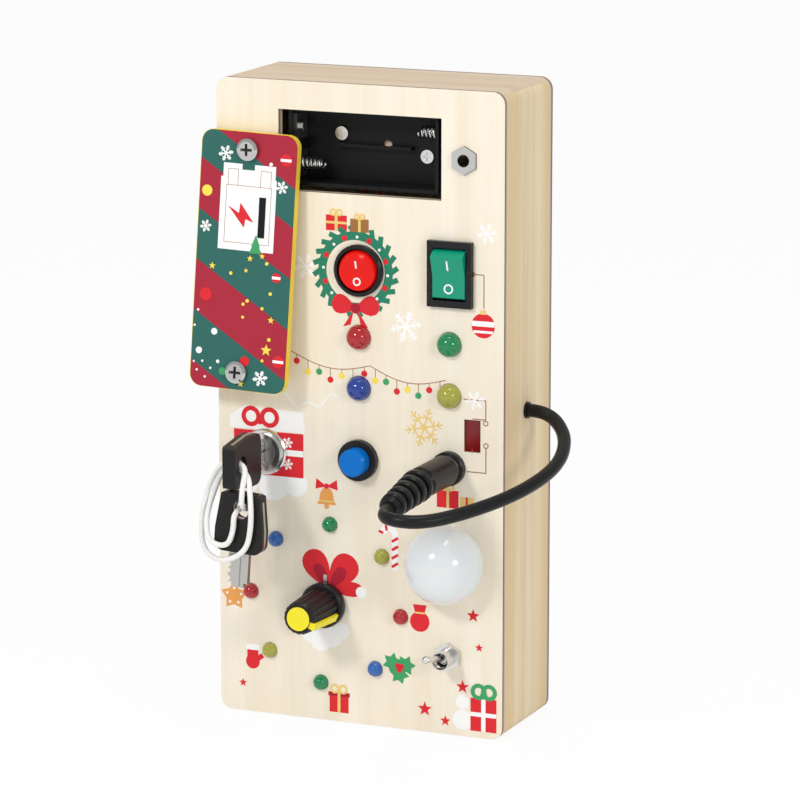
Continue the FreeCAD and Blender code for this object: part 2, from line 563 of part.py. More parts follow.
# Two keys; each is drawn with its hole at the origin and its blade towards -Y
KEYS = {"key": (Rotation(Vector(1, 0, 1), 180), "lock_x",
                "-board_depth / 2 - bow_start - bow_length + hole_inset", "control_row"),
        "spare_key": (Rotation(Vector(0, 1, 0), val("spare_lean")).multiply(OUTWARD),
                      "spare_x", "spare_y", "spare_z")}
for label, (turn, x, y, z) in KEYS.items():
    near = "hole_inset - bow_length"
    outline = plate("bow_wide", "bow_length", "bow_thick", 3.2, "hole_inset - bow_length / 2")
    taper_block = doc.addObject("Part::Wedge", "Taper")
    bind(taper_block, Xmin="-bow_wide / 2 - 1", Xmax="bow_wide / 2 + 1", Ymin=near,
         Ymax="hole_inset", Zmin=-1, Zmax=9, X2min="-bow_end / 2", X2max="bow_end / 2",
         Z2min=-1, Z2max=9)
    bow = cut(overlap(outline, taper_block), rod("bow_hole / 2", 20, 0, 0, -5))
    middle = block(30, "bow_length", "bow_core", 0, "hole_inset - bow_length / 2 - bow_bar",
                   "(bow_thick - bow_core) / 2")
    halves = cut(bow, middle)
    core = plate("bow_wide", "bow_length", "bow_core", 3.2, "hole_inset - bow_length / 2")
    core = overlap(place(core, 0, "hole_inset - bow_length / 2", "(bow_thick - bow_core) / 2"),
                   taper_block)
    core = cut(core, rod("bow_hole / 2", 20, 0, 0, -5),
               block(30, "bow_bar", 20, 0, "hole_inset - bow_bar / 2", -5))
    blade = block("key_high", "key_reach + 2", "key_thick", 0, f"{near} - key_reach / 2 + 1 + 0.3",
                  "(bow_thick - key_thick) / 2")
    slots = cut(blade, block(30, 30, 9, 0, f"{near} + 15", -2))
    bits = [rod(0.9, 9, "-key_high / 2", f"{near} - {step}", -2) for step in (4.6, 6.6, 9.2)]
    tip = [place(block(4, 4, 9, 0, 0, -2), f"{side} * 4.2 - 2", f"{near} - key_reach - 2.2")
           for side in (-1, 1)]
    bits.append(block(0.7, 11, 0.5, 0.9, f"{near} - key_reach + 5",
                      "(bow_thick + key_thick) / 2 - 0.4"))
    silver = join(core, cut(slots, *bits, *tip))
    for part, shape in (("bow", halves), ("blade", silver)):
        centred = place(shape, 0, 0, "-bow_thick / 2")
        node(f"{label}_{part}", place(group(centred), x, y, z, turn))

# White cord: tied behind the spare key, through the other key, twice round.
# Its route is measured from the face of the key lock.
STRING = [(4.2, -20.1, -14.1), (4.2, -28.3, -13.9), (4.6, -28.3, -6.3), (4.6, -24.5, 1),
          (-4.8, -22.7, 1), (-9.7, -22.8, -6.8), (-12.5, -23.2, -18.3),
          (-10.5, -26.5, -28.3), (-2.4, -28.7, -31.1), (6.1, -28.8, -26.8),
          (7.9, -28.6, -18.3), (7.5, -28.1, -9.3), (5, -24.5, -1.1), (-4.8, -22.1, -1.3),
          (-7.9, -22.5, -8.8), (-9.9, -25, -17.3), (-7.7, -28.3, -24.7),
          (-0.9, -28.6, -25.9), (1.5, -28.5, -20.7), (1.7, -28.4, -13.9),
          (1.7, -22.4, -13.9)]
LOCK = Vector(val("lock_x"), -val("board_depth") / 2, val("control_row"))
string_wire, string_radii = run([Vector(*spot) + LOCK for spot in STRING])
print("string bend radii", min(string_radii), string_radii)
cord = swept(string_wire, val("string_dia"), "string")
node("key_string", solid(cord, "String"))

# Potentiometer with nut, shaft, knob and pointer
pot = join(rod("pot_body / 2", "pot_depth", 0, 0, "-panel_thick - pot_depth"),
           rod("pot_bush / 2", 3.4 + 3, 0, 0, "-panel_thick"),
           block(1.2, 2.6, 4.3, 0, "pot_tab_z", "-panel_thick - 1"),
           block(12, 1.2, 6, 0, "-pot_body / 2 - 1", "-panel_thick - 8"))
pot = cut(pot, rod("pot_shaft / 2 + running_gap", 30, 0, 0, "-panel_thick - 6"))
front("potentiometer_body", pot, "knob_x", "knob_z")
front("potentiometer_nut", cut(hexagon("pot_flats", 2), rod("pot_bush / 2 + 0.03", 9, 0, 0, -3)),
      "knob_x", "knob_z")
shaft = cut(rod("pot_shaft / 2", 26.5, 0, 0, "-panel_thick - 5.5"),
            block(0.9, 9, 9, 0, 0, 12.5))
front("potentiometer_shaft", shaft, "knob_x", "knob_z")
knob = join(rod("knob_skirt / 2", "skirt_high - 0.8", 0, 0, "knob_clear"),
            taper("knob_skirt / 2", "knob_skirt / 2 - 0.7", 0.8, 0, 0,
                  "knob_clear + skirt_high - 0.8"),
            taper("knob_foot / 2", "knob_top / 2 + 0.3", "knob_end - 5.2", 0, 0, 4.2),
            taper("knob_top / 2 + 0.3", "knob_top / 2 - 0.4", 1, 0, 0, "knob_end - 1"))
knob = cut(knob, rod("pot_flats / 2 + 1.1", 10, 0, 0, -5.8),
           rod("pot_shaft / 2 + running_gap", 22, 0, 0, -4),
           rod("knob_disc / 2 + 0.02", 3, 0, 0, "knob_end - 0.6"))
flutes = []
for step in range(1, 18):
    flute = doc.addObject("Part::Cone", "Flute")
    bind(flute, Radius1=0.75, Radius2=0.55, Height=20)
    flutes.append(place(flute, f"(knob_foot / 2 + 0.25) * cos({step} * 20)",
                        f"(knob_foot / 2 + 0.25) * sin({step} * 20)", 4.6,
                        Rotation(Vector(-math.sin(math.radians(step * 20)),
                                        math.cos(math.radians(step * 20)), 0), -3.4)))
channel = doc.addObject("Part::Wedge", "Channel")
bind(channel, Xmin=4, Xmax=9, Ymin=-1.2, Ymax=1.2, Zmin="knob_clear + skirt_high + 0.6", Zmax=30,
     X2min=4, X2max=9, Z2min="knob_clear + skirt_high + 0.6", Z2max=30)
strip_lean = Rotation(Vector(0, 1, 0), -3.7)
channel_cut = place(channel, 0.9, 0, 0, strip_lean)
turned = group(cut(knob, *flutes, channel_cut))
KNOB = OUTWARD.multiply(Rotation(Vector(0, 0, 1), -25))
node("control_knob", place(turned, "knob_x", "-board_depth / 2", "knob_z", KNOB))
strip = doc.addObject("Part::Wedge", "Strip")
bind(strip, Xmin=4, Xmax="knob_foot / 2 + 0.2", Ymin=-1.2, Ymax=1.2,
     Zmin="knob_clear + skirt_high + 0.6", Zmax="knob_end - 0.5", X2min=4,
     X2max="knob_foot / 2 + 0.2", Z2min="knob_clear + skirt_high + 0.6", Z2max="knob_end - 0.5")
strip = place(strip, 0.9, 0, 0, strip_lean)
strip = overlap(strip, rod("knob_foot", 19.6, 0, 0, 1.5))
strip = cut(strip, rod("pot_shaft / 2 + 1.1", 40, 0, 0, -4))
disc = rod("knob_disc / 2", 0.9, 0, 0, "knob_end - 0.6")
node("knob_pointer", place(group(cut(strip, disc), disc), "knob_x", "-board_depth / 2",
                           "knob_z", KNOB))

# Toggle switch
inside = join(rod("toggle_bush / 2", "toggle_proud + 3", 0, 0, "-panel_thick"),
              block(13.2, 7.9, 10, 0, 0, "-panel_thick - 10"),
              *[block(0.8, 2.2, 4, x, 0, "-panel_thick - 13.8") for x in (-4, 0, 4)])
axle = "toggle_bush - 0.8"
room = join(rod(2.25, 40, 0, 0, -5),
            rod(0.55, f"{axle} + 0.1", f"-({axle} + 0.1) / 2", 0, "toggle_pivot", SIDEWAYS),
            taper(2.25, 2.75, 1.6, 0, 0, "toggle_proud - 1.6"),
            block(6, 6.4, 6.5, 0, 0, "-panel_thick - 7.5"))
front("toggle_body", cut(inside, room), "right_column", "toggle_z")
front("toggle_nut", cut(hexagon("toggle_flats", 2), rod("toggle_bush / 2 + 0.03", 9, 0, 0, -3)),
      "right_column", "toggle_z")
arm = "toggle_tip - toggle_pivot"
lever = join(ball(2.1), rod(0.5, axle, f"-({axle}) / 2", 0, 0, SIDEWAYS),
             rod(0.7, 6.5, 0, 0, -6.5), taper(0.85, 1.2, arm + " - 1", 0, 0, 0.6),
             ball(1.3, 0, 0, arm + " - 1.3"))
node("toggle_lever", place(lever, "right_column", "-board_depth / 2 - toggle_pivot", "toggle_z",
                           Rotation(Vector(1, 0, 0), 90 - val("toggle_throw"))))

# Socket, plug and its cable
barrel = join(rod("jack_bush / 2", "panel_thick + 1.4", 0, 0, "-panel_thick"),
              rod("jack_bush / 2 + 1.3", "jack_depth - 2", 0, 0, "2 - panel_thick - jack_depth"))
barrel = cut(barrel, rod("jack_bore / 2", 40, 0, 0, "2.5 - jack_depth"))
pin = rod(0.9, 9, 0, 0, "-jack_depth - 0.5")
front("jack_body", join(barrel, pin), "right_column", "control_row")
collar = join(rod("jack_collar / 2", "collar_thick - 0.4"),
              taper("jack_collar / 2", "jack_collar / 2 - 0.4", 0.4, 0, 0, "collar_thick - 0.4"))
front("jack_collar_nut", cut(collar, rod("jack_bush / 2 + 0.03", 9, 0, 0, -3)),
      "right_column", "control_row")
sleeve = join(rod("grip_dia / 2 - 0.4", 1.4, 0, 0, "collar_thick + 0.15"),
              rod("sleeve_dia / 2", "sleeve_reach + 1", 0, 0, "collar_thick + 0.5 - sleeve_reach"))
sleeve = cut(sleeve, rod(1.3, 9, 0, 0, "-sleeve_reach"))
front("plug_sleeve", sleeve, "right_column", "control_row")
grip_start = "collar_thick + 1.55"
grip = join(rod("grip_dia / 2", "grip_length - 1.4", 0, 0, f"{grip_start} + 0.6"),
            taper("grip_dia / 2 - 0.6", "grip_dia / 2", 0.6, 0, 0, grip_start),
            taper("grip_dia / 2", "grip_dia / 2 - 0.8", 0.8, 0, 0,
                  f"{grip_start} + grip_length - 0.8"))
ribs = [rod("cable_dia / 2 + 1.1", 24, 0, 0, -0.5)]
for step in range(5):
    wide = f"5.4 - 0.32 * {step}"
    ribs.append(taper(f"{wide} - 0.5", wide, 0.8, 0, 0, f"0.9 + 4.6 * {step}"))
    ribs.append(rod(wide, 1.6, 0, 0, f"1.7 + 4.6 * {step}"))
    ribs.append(taper(wide, f"{wide} - 0.5", 0.8, 0, 0, f"3.3 + 4.6 * {step}"))
ribs.append(taper("relief_end / 2", "cable_dia / 2 + 0.6", 1.6, 0, 0, "relief_length - 1.6"))
relief = place(group(join(*ribs)), 0, 0, f"{grip_start} + grip_length",
               Rotation(Vector(1, 0, 0), val("relief_droop")))
front("plug_grip", join(grip, relief), "right_column", "control_row")
droop = math.radians(val("relief_droop"))
tail = val("relief_length") + 0.05
face = -val("board_depth") / 2
side = val("board_width") / 2
row = val("control_row")
tail_y = face - 4.15 - val("grip_length") - tail * math.cos(droop)
tail_z = row - tail * math.sin(droop)
CABLE = [(val("right_column"), tail_y, tail_z),
         (val("right_column"), tail_y - 5.6 * math.cos(droop), tail_z - 5.6 * math.sin(droop)),
         (side - 12.4, face - 59.5, row - 3.7), (side - 4, face - 57.1, row - 4.1),
         (side + 4.5, face - 48, row - 2.9), (side + 13.5, face - 34, row - 0.3),
         (side + 19, face - 19.5, row + 2.6), (side + 20.9, face - 4.5, row + 6.1),
         (side + 17.6, face + 9.5, row + 10.4), (side + 11.4, face + 17.9, row + 14.3),
         (side + 5.6, val("exit_y"), val("exit_z")), (side + 0.85, val("exit_y"), val("exit_z"))]
cable_wire, cable_radii = run(CABLE)
print("cable bend radii", min(cable_radii), cable_radii, "length", round(cable_wire.Length, 1))
node("plug_cable", solid(swept(cable_wire, val("cable_dia"), "cable"), "Cable"))
wall_x = "board_width / 2 - board_thick"
bung = join(rod("grommet_dia / 2", "board_thick + 0.8", wall_x, 0, 0, SIDEWAYS),
            rod("grommet_dia / 2 + 1", 1, f"{wall_x} - 1", 0, 0, SIDEWAYS))
node("cable_grommet", place(group(bung), 0, "exit_y", "exit_z"))

# Circuit board on spacers and the two battery wires
lift = "2 + panel_thick - board_depth"
card = join(block("card_width", "card_height", "card_thick", 0, 0, lift),
            block(12, 9, 3, -12, 4, f"{lift} + card_thick - 0.2"),
            block(5, 12, 5, 22, 0, f"{lift} + card_thick - 0.2"),
            rod(2.5, 7, 8, -9, f"{lift} + card_thick - 0.2"),
            *[rod(2, 2.5, f"{column} * (card_width / 2 - 4)", f"{level} * (card_height / 2 - 4)",
                  "panel_thick - board_depth") for column in (-1, 1) for level in (-1, 1)])
front("control_board", card, 3, "card_z")
wires = []
lead_y = face + val("switch_depth") + 2.5
top = val("holder_z") - val("holder_height") / 2
low = val("red_z") + 3.5
for end_side in (-1, 1):
    x = val("red_x") + 3 * end_side
    path = [(x, face + 10, top + 0.6), (x, face + 10, top - 0.32 * (top - low)),
            (x, lead_y, top - 0.68 * (top - low)), (x, lead_y, low)]
    wires.append(swept(run(path)[0], val("wire_dia"), "battery wire"))
node("battery_wires", solid(Part.makeCompound(wires), "Wires"))

doc.recompute()
faults = []
for obj in doc.Objects:
    if "Invalid" in obj.State or "Error" in obj.State:
        faults.append(f"{obj.Name} {obj.Label} {obj.State}")
for label, obj in NODES.items():
    shape = obj.Shape
    if shape.isNull() or not shape.isValid() or not shape.Solids:
        faults.append(f"{label} has a bad shape")
if faults:
    raise SystemExit("not exported: " + "; ".join(faults))
for label, obj in NODES.items():
    obj.Shape.exportStep(f"parts/{label}.step")
print("exported", len(NODES), "files")
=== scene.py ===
import math
import bpy
from mathutils import Matrix, Vector


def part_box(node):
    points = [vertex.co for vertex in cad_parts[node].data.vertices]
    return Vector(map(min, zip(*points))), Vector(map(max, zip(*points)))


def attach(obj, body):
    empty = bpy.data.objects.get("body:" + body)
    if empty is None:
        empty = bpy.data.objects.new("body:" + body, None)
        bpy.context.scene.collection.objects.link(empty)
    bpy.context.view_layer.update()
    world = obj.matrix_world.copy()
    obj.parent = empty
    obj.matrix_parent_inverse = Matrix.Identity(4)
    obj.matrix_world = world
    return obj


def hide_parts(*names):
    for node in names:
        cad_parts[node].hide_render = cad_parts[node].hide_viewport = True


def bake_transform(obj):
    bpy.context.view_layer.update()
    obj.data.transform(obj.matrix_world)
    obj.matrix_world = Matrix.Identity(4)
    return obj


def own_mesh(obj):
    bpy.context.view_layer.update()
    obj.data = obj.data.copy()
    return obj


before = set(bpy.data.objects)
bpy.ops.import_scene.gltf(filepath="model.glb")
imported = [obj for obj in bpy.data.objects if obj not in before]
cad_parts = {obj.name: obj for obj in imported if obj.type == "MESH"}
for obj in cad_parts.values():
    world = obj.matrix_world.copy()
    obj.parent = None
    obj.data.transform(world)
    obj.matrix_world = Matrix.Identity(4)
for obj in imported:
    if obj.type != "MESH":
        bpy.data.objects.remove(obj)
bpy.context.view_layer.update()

# The box: four solid boards between a front and a back sheet of pale ply. The grain runs up the
# sheets and along each board. The sheets' cut edges are a little brown from the cutter, and the
# side boards are darker towards front and back.
wood_grain = bpy.data.node_groups.new("wood_grain", "ShaderNodeTree")
for label, kind, start in (("Light", "NodeSocketColor", (0.9, 0.8, 0.6, 1)),
                           ("Dark", "NodeSocketColor", (0.8, 0.65, 0.45, 1)),
                           ("Stretch X", "NodeSocketFloat", 1.0),
                           ("Stretch Y", "NodeSocketFloat", 1.0),
                           ("Stretch Z", "NodeSocketFloat", 1.0),
                           ("Contrast", "NodeSocketFloat", 1.0)):
    socket = wood_grain.interface.new_socket(label, in_out="INPUT", socket_type=kind)
    socket.default_value = start
wood_grain.interface.new_socket("Color", in_out="OUTPUT", socket_type="NodeSocketColor")
wood_grain.interface.new_socket("Height", in_out="OUTPUT", socket_type="NodeSocketFloat")
entry = wood_grain.nodes.new("NodeGroupInput")
leave = wood_grain.nodes.new("NodeGroupOutput")
where = wood_grain.nodes.new("ShaderNodeTexCoord")
stretch = wood_grain.nodes.new("ShaderNodeCombineXYZ")
for axis in "XYZ":
    wood_grain.links.new(entry.outputs["Stretch " + axis], stretch.inputs[axis])
spread = wood_grain.nodes.new("ShaderNodeVectorMath")
spread.operation = "MULTIPLY"
wood_grain.links.new(where.outputs["Object"], spread.inputs[0])
wood_grain.links.new(stretch.outputs[0], spread.inputs[1])
bands = wood_grain.nodes.new("ShaderNodeTexNoise")
bands.inputs["Scale"].default_value = 1.0
bands.inputs["Detail"].default_value = 3.0
fibre = wood_grain.nodes.new("ShaderNodeTexNoise")
fibre.inputs["Scale"].default_value = 7.0
fibre.inputs["Detail"].default_value = 4.0
both = wood_grain.nodes.new("ShaderNodeMath")
both.operation = "MULTIPLY_ADD"
both.inputs[1].default_value = 0.35
tone = wood_grain.nodes.new("ShaderNodeMapRange")
tone.inputs["From Min"].default_value = 0.50
tone.inputs["From Max"].default_value = 0.86
share = wood_grain.nodes.new("ShaderNodeMath")
share.operation = "MULTIPLY"
blend_tone = wood_grain.nodes.new("ShaderNodeMix")
blend_tone.data_type = "RGBA"
for texture in (bands, fibre):
    wood_grain.links.new(spread.outputs[0], texture.inputs["Vector"])
wood_grain.links.new(fibre.outputs["Fac"], both.inputs[0])
wood_grain.links.new(bands.outputs["Fac"], both.inputs[2])
wood_grain.links.new(both.outputs[0], tone.inputs["Value"])
wood_grain.links.new(tone.outputs[0], share.inputs[0])
wood_grain.links.new(entry.outputs["Contrast"], share.inputs[1])
wood_grain.links.new(share.outputs[0], blend_tone.inputs["Factor"])
wood_grain.links.new(entry.outputs["Light"], blend_tone.inputs["A"])
wood_grain.links.new(entry.outputs["Dark"], blend_tone.inputs["B"])
wood_grain.links.new(blend_tone.outputs["Result"], leave.inputs["Color"])
wood_grain.links.new(fibre.outputs["Fac"], leave.inputs["Height"])


def plain(name, colour, roughness=0.5, metal=0.0, coat=0.0, gleam=0.2):
    """A material of one colour."""
    material = bpy.data.materials.new(name)
    material.use_nodes = True
    shader = material.node_tree.nodes["Principled BSDF"]
    shader.inputs["Base Color"].default_value = (*colour, 1)
    shader.inputs["Roughness"].default_value = roughness
    shader.inputs["Metallic"].default_value = metal
    shader.inputs["Coat Weight"].default_value = coat
    shader.inputs["Specular IOR Level"].default_value = 0.5 if metal else gleam
    shader.inputs["Coat Roughness"].default_value = 0.08
    return material


def wooden(name, light, dark, stretch_by, contrast=1.0, bump=0.00002):
    """Bare sanded wood, with the grain along the axis that is stretched least."""
    material = plain(name, light, 0.62)
    tree = material.node_tree
    shader = tree.nodes["Principled BSDF"]
    grain = tree.nodes.new("ShaderNodeGroup")
    grain.node_tree = wood_grain
    grain.inputs["Light"].default_value = (*light, 1)
    grain.inputs["Dark"].default_value = (*dark, 1)
    for axis, amount in zip("XYZ", stretch_by):
        grain.inputs["Stretch " + axis].default_value = amount
    grain.inputs["Contrast"].default_value = contrast
    relief = tree.nodes.new("ShaderNodeBump")
    relief.inputs["Distance"].default_value = bump
    tree.links.new(grain.outputs["Color"], shader.inputs["Base Color"])
    tree.links.new(grain.outputs["Height"], relief.inputs["Height"])
    tree.links.new(relief.outputs["Normal"], shader.inputs["Normal"])
    return material


def depth_from_middle(tree):
    """How far a point lies in front of or behind the middle of the box."""
    where = tree.nodes.new("ShaderNodeTexCoord")
    split = tree.nodes.new("ShaderNodeSeparateXYZ")
    depth = tree.nodes.new("ShaderNodeMath")
    depth.operation = "ABSOLUTE"
    tree.links.new(where.outputs["Object"], split.inputs[0])
    tree.links.new(split.outputs["Y"], depth.inputs[0])
    return depth.outputs[0]


def stain(material, share, colour):
    """Lay a second colour over the first, as strongly as the share says."""
    tree = material.node_tree
    shader = tree.nodes["Principled BSDF"]
    first = shader.inputs["Base Color"].links[0].from_socket
    mix = tree.nodes.new("ShaderNodeMix")
    mix.data_type = "RGBA"
    mix.inputs["B"].default_value = (*colour, 1)
    tree.links.new(share, mix.inputs["Factor"])
    tree.links.new(first, mix.inputs["A"])
    tree.links.new(mix.outputs["Result"], shader.inputs["Base Color"])


def dress(material, *nodes):
    """Give whole CAD nodes one material."""
    for node in nodes:
        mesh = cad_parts[node].data
        mesh.materials.clear()
        mesh.materials.append(material)


face_ply = wooden("face_ply", (0.90, 0.83, 0.70), (0.85, 0.75, 0.59), (110, 110, 6), 0.9)
tree = face_ply.node_tree
where = tree.nodes.new("ShaderNodeTexCoord")
split = tree.nodes.new("ShaderNodeSeparateXYZ")
facing = tree.nodes.new("ShaderNodeMath")
facing.operation = "ABSOLUTE"
edge = tree.nodes.new("ShaderNodeMapRange")
edge.inputs["From Min"].default_value = 0.6
edge.inputs["From Max"].default_value = 0.2
scorch = tree.nodes.new("ShaderNodeMapRange")
scorch.inputs["From Min"].default_value = 0.0182
scorch.inputs["From Max"].default_value = 0.0202
scorch.inputs["To Min"].default_value = 0.25
scorched_edge = tree.nodes.new("ShaderNodeMath")
scorched_edge.operation = "MULTIPLY"
tree.links.new(where.outputs["Normal"], split.inputs[0])
tree.links.new(split.outputs["Y"], facing.inputs[0])
tree.links.new(facing.outputs[0], edge.inputs["Value"])
tree.links.new(depth_from_middle(tree), scorch.inputs["Value"])
tree.links.new(edge.outputs[0], scorched_edge.inputs[0])
tree.links.new(scorch.outputs[0], scorched_edge.inputs[1])
stain(face_ply, scorched_edge.outputs[0], (0.20, 0.085, 0.03))
side_pine = wooden("side_pine", (0.89, 0.79, 0.58), (0.77, 0.60, 0.38), (60, 150, 4))
top_pine = wooden("top_pine", (0.76, 0.63, 0.48), (0.65, 0.50, 0.35), (4, 190, 60))
tree = side_pine.node_tree
# Side boards: darker towards front and back, by distance from the middle of the box.
darker_to_front_and_back = tree.nodes.new("ShaderNodeMapRange")
darker_to_front_and_back.inputs["From Min"].default_value = 0.006
darker_to_front_and_back.inputs["From Max"].default_value = 0.017
darker_to_front_and_back.inputs["To Max"].default_value = 0.8
tree.links.new(depth_from_middle(tree), darker_to_front_and_back.inputs["Value"])
stain(side_pine, darker_to_front_and_back.outputs[0], (0.75, 0.54, 0.27))
dress(face_ply, "front_panel", "back_panel")
dress(side_pine, "frame_left_board", "frame_right_board")
dress(top_pine, "frame_top_board", "frame_bottom_board", "holder_support_block")

# The prints: flat ink shapes on the face of the ply, laid one colour over another, each layer
# a hair thicker than the last. All of them are plain seasonal ornaments, in millimetres.
face_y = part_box("front_panel")[0].y
MM = 0.001
ink_thick = 0.05
layer_step = 0.035
outline_step = 0.0006


def printed(name, layers, place, body="board"):
    """Thin filled outlines; each layer is a material and its outlines."""
    points = []
    faces = []
    tints = []
    for level, (material, outlines) in enumerate(layers):
        for order, outline in enumerate(outlines):
            start = len(points)
            count = len(outline)
            top = ink_thick + layer_step * level + outline_step * order
            for height in (0.0, top):
                points += [place @ Vector((x * MM, z * MM, height * MM)) for x, z in outline]
            faces.append(list(range(start + count, start + 2 * count)))
            faces.append(list(range(start + count - 1, start - 1, -1)))
            for i in range(count):
                after = (i + 1) % count
                faces.append([start + i, start + after, start + count + after, start + count + i])
            tints += [level] * (count + 2)
    mesh = bpy.data.meshes.new(name)
    mesh.from_pydata(points, [], faces)
    for material, _ in layers:
        mesh.materials.append(material)
    for polygon, tint in zip(mesh.polygons, tints):
        polygon.material_index = tint
    piece = bpy.data.objects.new(name, mesh)
    bpy.context.scene.collection.objects.link(piece)
    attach(piece, body)


def on_face(x, z):
    """A place on the front face, with the print's own axes to the right and up."""
    return Matrix.Translation((x * MM, face_y, z * MM)) @ Matrix.Rotation(math.pi / 2, 4, "X")


def disc(x, z, radius, corners=28):
    return [(x + radius * math.cos(2 * math.pi * i / corners),
             z + radius * math.sin(2 * math.pi * i / corners)) for i in range(corners)]


def around(radius, degrees):
    """The point at this radius and angle."""
    return radius * math.cos(math.radians(degrees)), radius * math.sin(math.radians(degrees))


def bar(x0, z0, x1, z1, wide):
    """A straight stroke from one point to another."""
    along = Vector((x1 - x0, z1 - z0)).normalized() * wide / 2
    return [(x0 + along.y, z0 - along.x), (x1 + along.y, z1 - along.x),
            (x1 - along.y, z1 + along.x), (x0 - along.y, z0 + along.x)]


def star(x, z, radius, points=5, inner=0.42, turn=90):
    outline = []
    for i in range(points * 2):
        reach = radius if i % 2 == 0 else radius * inner
        angle = math.radians(turn + i * 180 / points)
        outline.append((x + reach * math.cos(angle), z + reach * math.sin(angle)))
    return outline


def rim(x, z, outer, inner, start=0, end=360, steps=40):
    """A ring, or part of one, as a row of quads."""
    parts = []
    for i in range(steps):
        a = math.radians(start + (end - start) * i / steps)
        b = math.radians(start + (end - start) * (i + 1) / steps)
        parts.append([(x + inner * math.cos(a), z + inner * math.sin(a)),
                      (x + outer * math.cos(a), z + outer * math.sin(a)),
                      (x + outer * math.cos(b), z + outer * math.sin(b)),
                      (x + inner * math.cos(b), z + inner * math.sin(b))])
    return parts


def flake(x, z, radius, wide):
    """A six-armed snowflake with two pairs of barbs on each arm."""
    arms = [disc(x, z, radius * 0.16, 12)]
    for turn in range(6):
        angle = math.radians(turn * 60 + 12)
        tip = (x + radius * math.cos(angle), z + radius * math.sin(angle))
        arms.append(bar(x, z, *tip, wide))
        for share, barb in ((0.45, 0.30), (0.72, 0.24)):
            root = (x + radius * share * math.cos(angle), z + radius * share * math.sin(angle))
            for side in (-1, 1):
                lean = angle + side * math.radians(52)
                arms.append(bar(*root, root[0] + radius * barb * math.cos(lean),
                                root[1] + radius * barb * math.sin(lean), wide * 0.8))
    return arms


def petal(x, z, long, wide, turn):
    """A loop of ribbon that narrows to a point at x, z."""
    outline = []
    angle = math.radians(turn)
    for i in range(1, 24):
        swing = math.pi * i / 12
        along = long * (1 - math.cos(swing)) / 2
        across = 0.65 * wide * math.sin(swing) * math.sin(swing / 2)
        outline.append((x + along * math.cos(angle) - across * math.sin(angle),
                        z + along * math.sin(angle) + across * math.cos(angle)))
    return outline


def ink(name, colour):
    return plain(name + "_ink", colour, 0.6, gleam=0.1)


red = ink("red", (0.72, 0.03, 0.04))
deep_red = ink("deep_red", (0.42, 0.02, 0.04))
green = ink("green", (0.03, 0.22, 0.13))
leaf = ink("leaf", (0.06, 0.36, 0.14))
white = ink("white", (0.93, 0.93, 0.92))
gold = ink("gold", (0.83, 0.60, 0.20))
amber = ink("amber", (0.80, 0.36, 0.10))
brown = ink("brown", (0.35, 0.16, 0.06))
yellow = ink("yellow", (0.93, 0.72, 0.10))

flakes = [("flake_left", -18.8, 150.3, 4.2, 0.55), ("flake_middle", 16.3, 133.1, 5.4, 0.7),
          ("flake_top", 44.0, 164.9, 3.4, 0.5), ("flake_low", 40.2, 111.1, 3.2, 0.5)]
for name, x, z, radius, wide in flakes:
    printed(name, [(white, flake(0, 0, radius, wide))], on_face(x, z))
printed("flake_gold", [(gold, flake(0, 0, 6.6, 0.5) + rim(0, 0, 3.5, 3.1))],
        on_face(22.6, 100.8))

# Wreath round the red rocker, with two gifts above it and a bow below: green leaves as short
# strokes, red berries, gift boxes in red and brown.
leaves = rim(0, 0, 13.0, 10.2)
for turn in range(0, 360, 15):
    root = around(12, turn)
    reach = around(3.4, turn + 38)
    leaves.append(bar(*root, root[0] + reach[0], root[1] + reach[1], 1.7))
berries = [disc(*around(11.2, turn), 0.95, 14) for turn in range(20, 380, 45)]
shine = [disc(*around(11.2, turn), 0.5, 12) for turn in range(42, 400, 45)]
bow = [petal(0, -12, 8.4, 6.4, 168), petal(0, -12, 8.4, 6.4, 12),
       [(-0.6, -12.5), (-4.4, -18.2), (-1.8, -17.4)], [(0.6, -12.5), (4.4, -18.2), (1.8, -17.4)]]
printed("wreath", [(green, leaves), (red, berries + bow), (white, shine),
                   (deep_red, [disc(0, -12, 1.7, 16)])], on_face(-1.2, 149.8))
printed("wreath_gifts",
        [(red, [[(-8.5, 0), (-1.2, 0), (-1.2, 5), (-8.5, 5)]]),
         (brown, [[(0, 0), (6.4, 0), (6.4, 4.2), (0, 4.2)]]),
         (gold, [bar(-4.9, 0, -4.9, 5, 1.0), bar(-8.5, 2.6, -1.2, 2.6, 0.8),
                 bar(3.2, 0, 3.2, 4.2, 0.9)]
          + rim(-6.0, 5.9, 1.2, 0.6) + rim(-3.8, 5.9, 1.2, 0.6) + rim(2.3, 5.0, 1.0, 0.5)
          + rim(4.2, 5.0, 1.0, 0.5))], on_face(-3.0, 162.6))

# Garland across the face: a thin brown thread in two swags, with small baubles and bulbs on it.
thread = []
baubles = {0: [], 1: [], 2: []}
steps = 14
for swag, (left, right) in enumerate(((-24, 3.8), (3.8, 30))):
    knots = []
    for i in range(steps + 1):
        x = left + (right - left) * i / steps
        knots.append((x, 122.2 - (x + 24) * 0.10 - 3.2 * math.sin(math.pi * i / steps)))
    thread += [bar(*a, *b, 0.25) for a, b in zip(knots, knots[1:])]
    for i in range(1, steps, 2):
        x, z = knots[i]
        drop = 1.2 + 1.6 * ((i // 2 + swag) % 2)
        thread.append(bar(x, z, x, z - drop, 0.2))
        baubles[(i // 2 + swag) % 3].append(disc(x, z - drop - 1.0, 1.05, 16))
printed("garland", [(brown, thread), (red, baubles[0]), (yellow, baubles[1]), (leaf, baubles[2])],
        on_face(0, 0))
turns = [(-37 + 29.2 * i / 40, 106.4 + 1.2 * math.sin(i * 0.55) + 1.9 * math.sin(i * 0.19))
         for i in range(41)]
swirl = [bar(*a, *b, 0.5) for a, b in zip(turns, turns[1:])]
printed("ribbon_swirl", [(white, swirl)], on_face(0, 0))

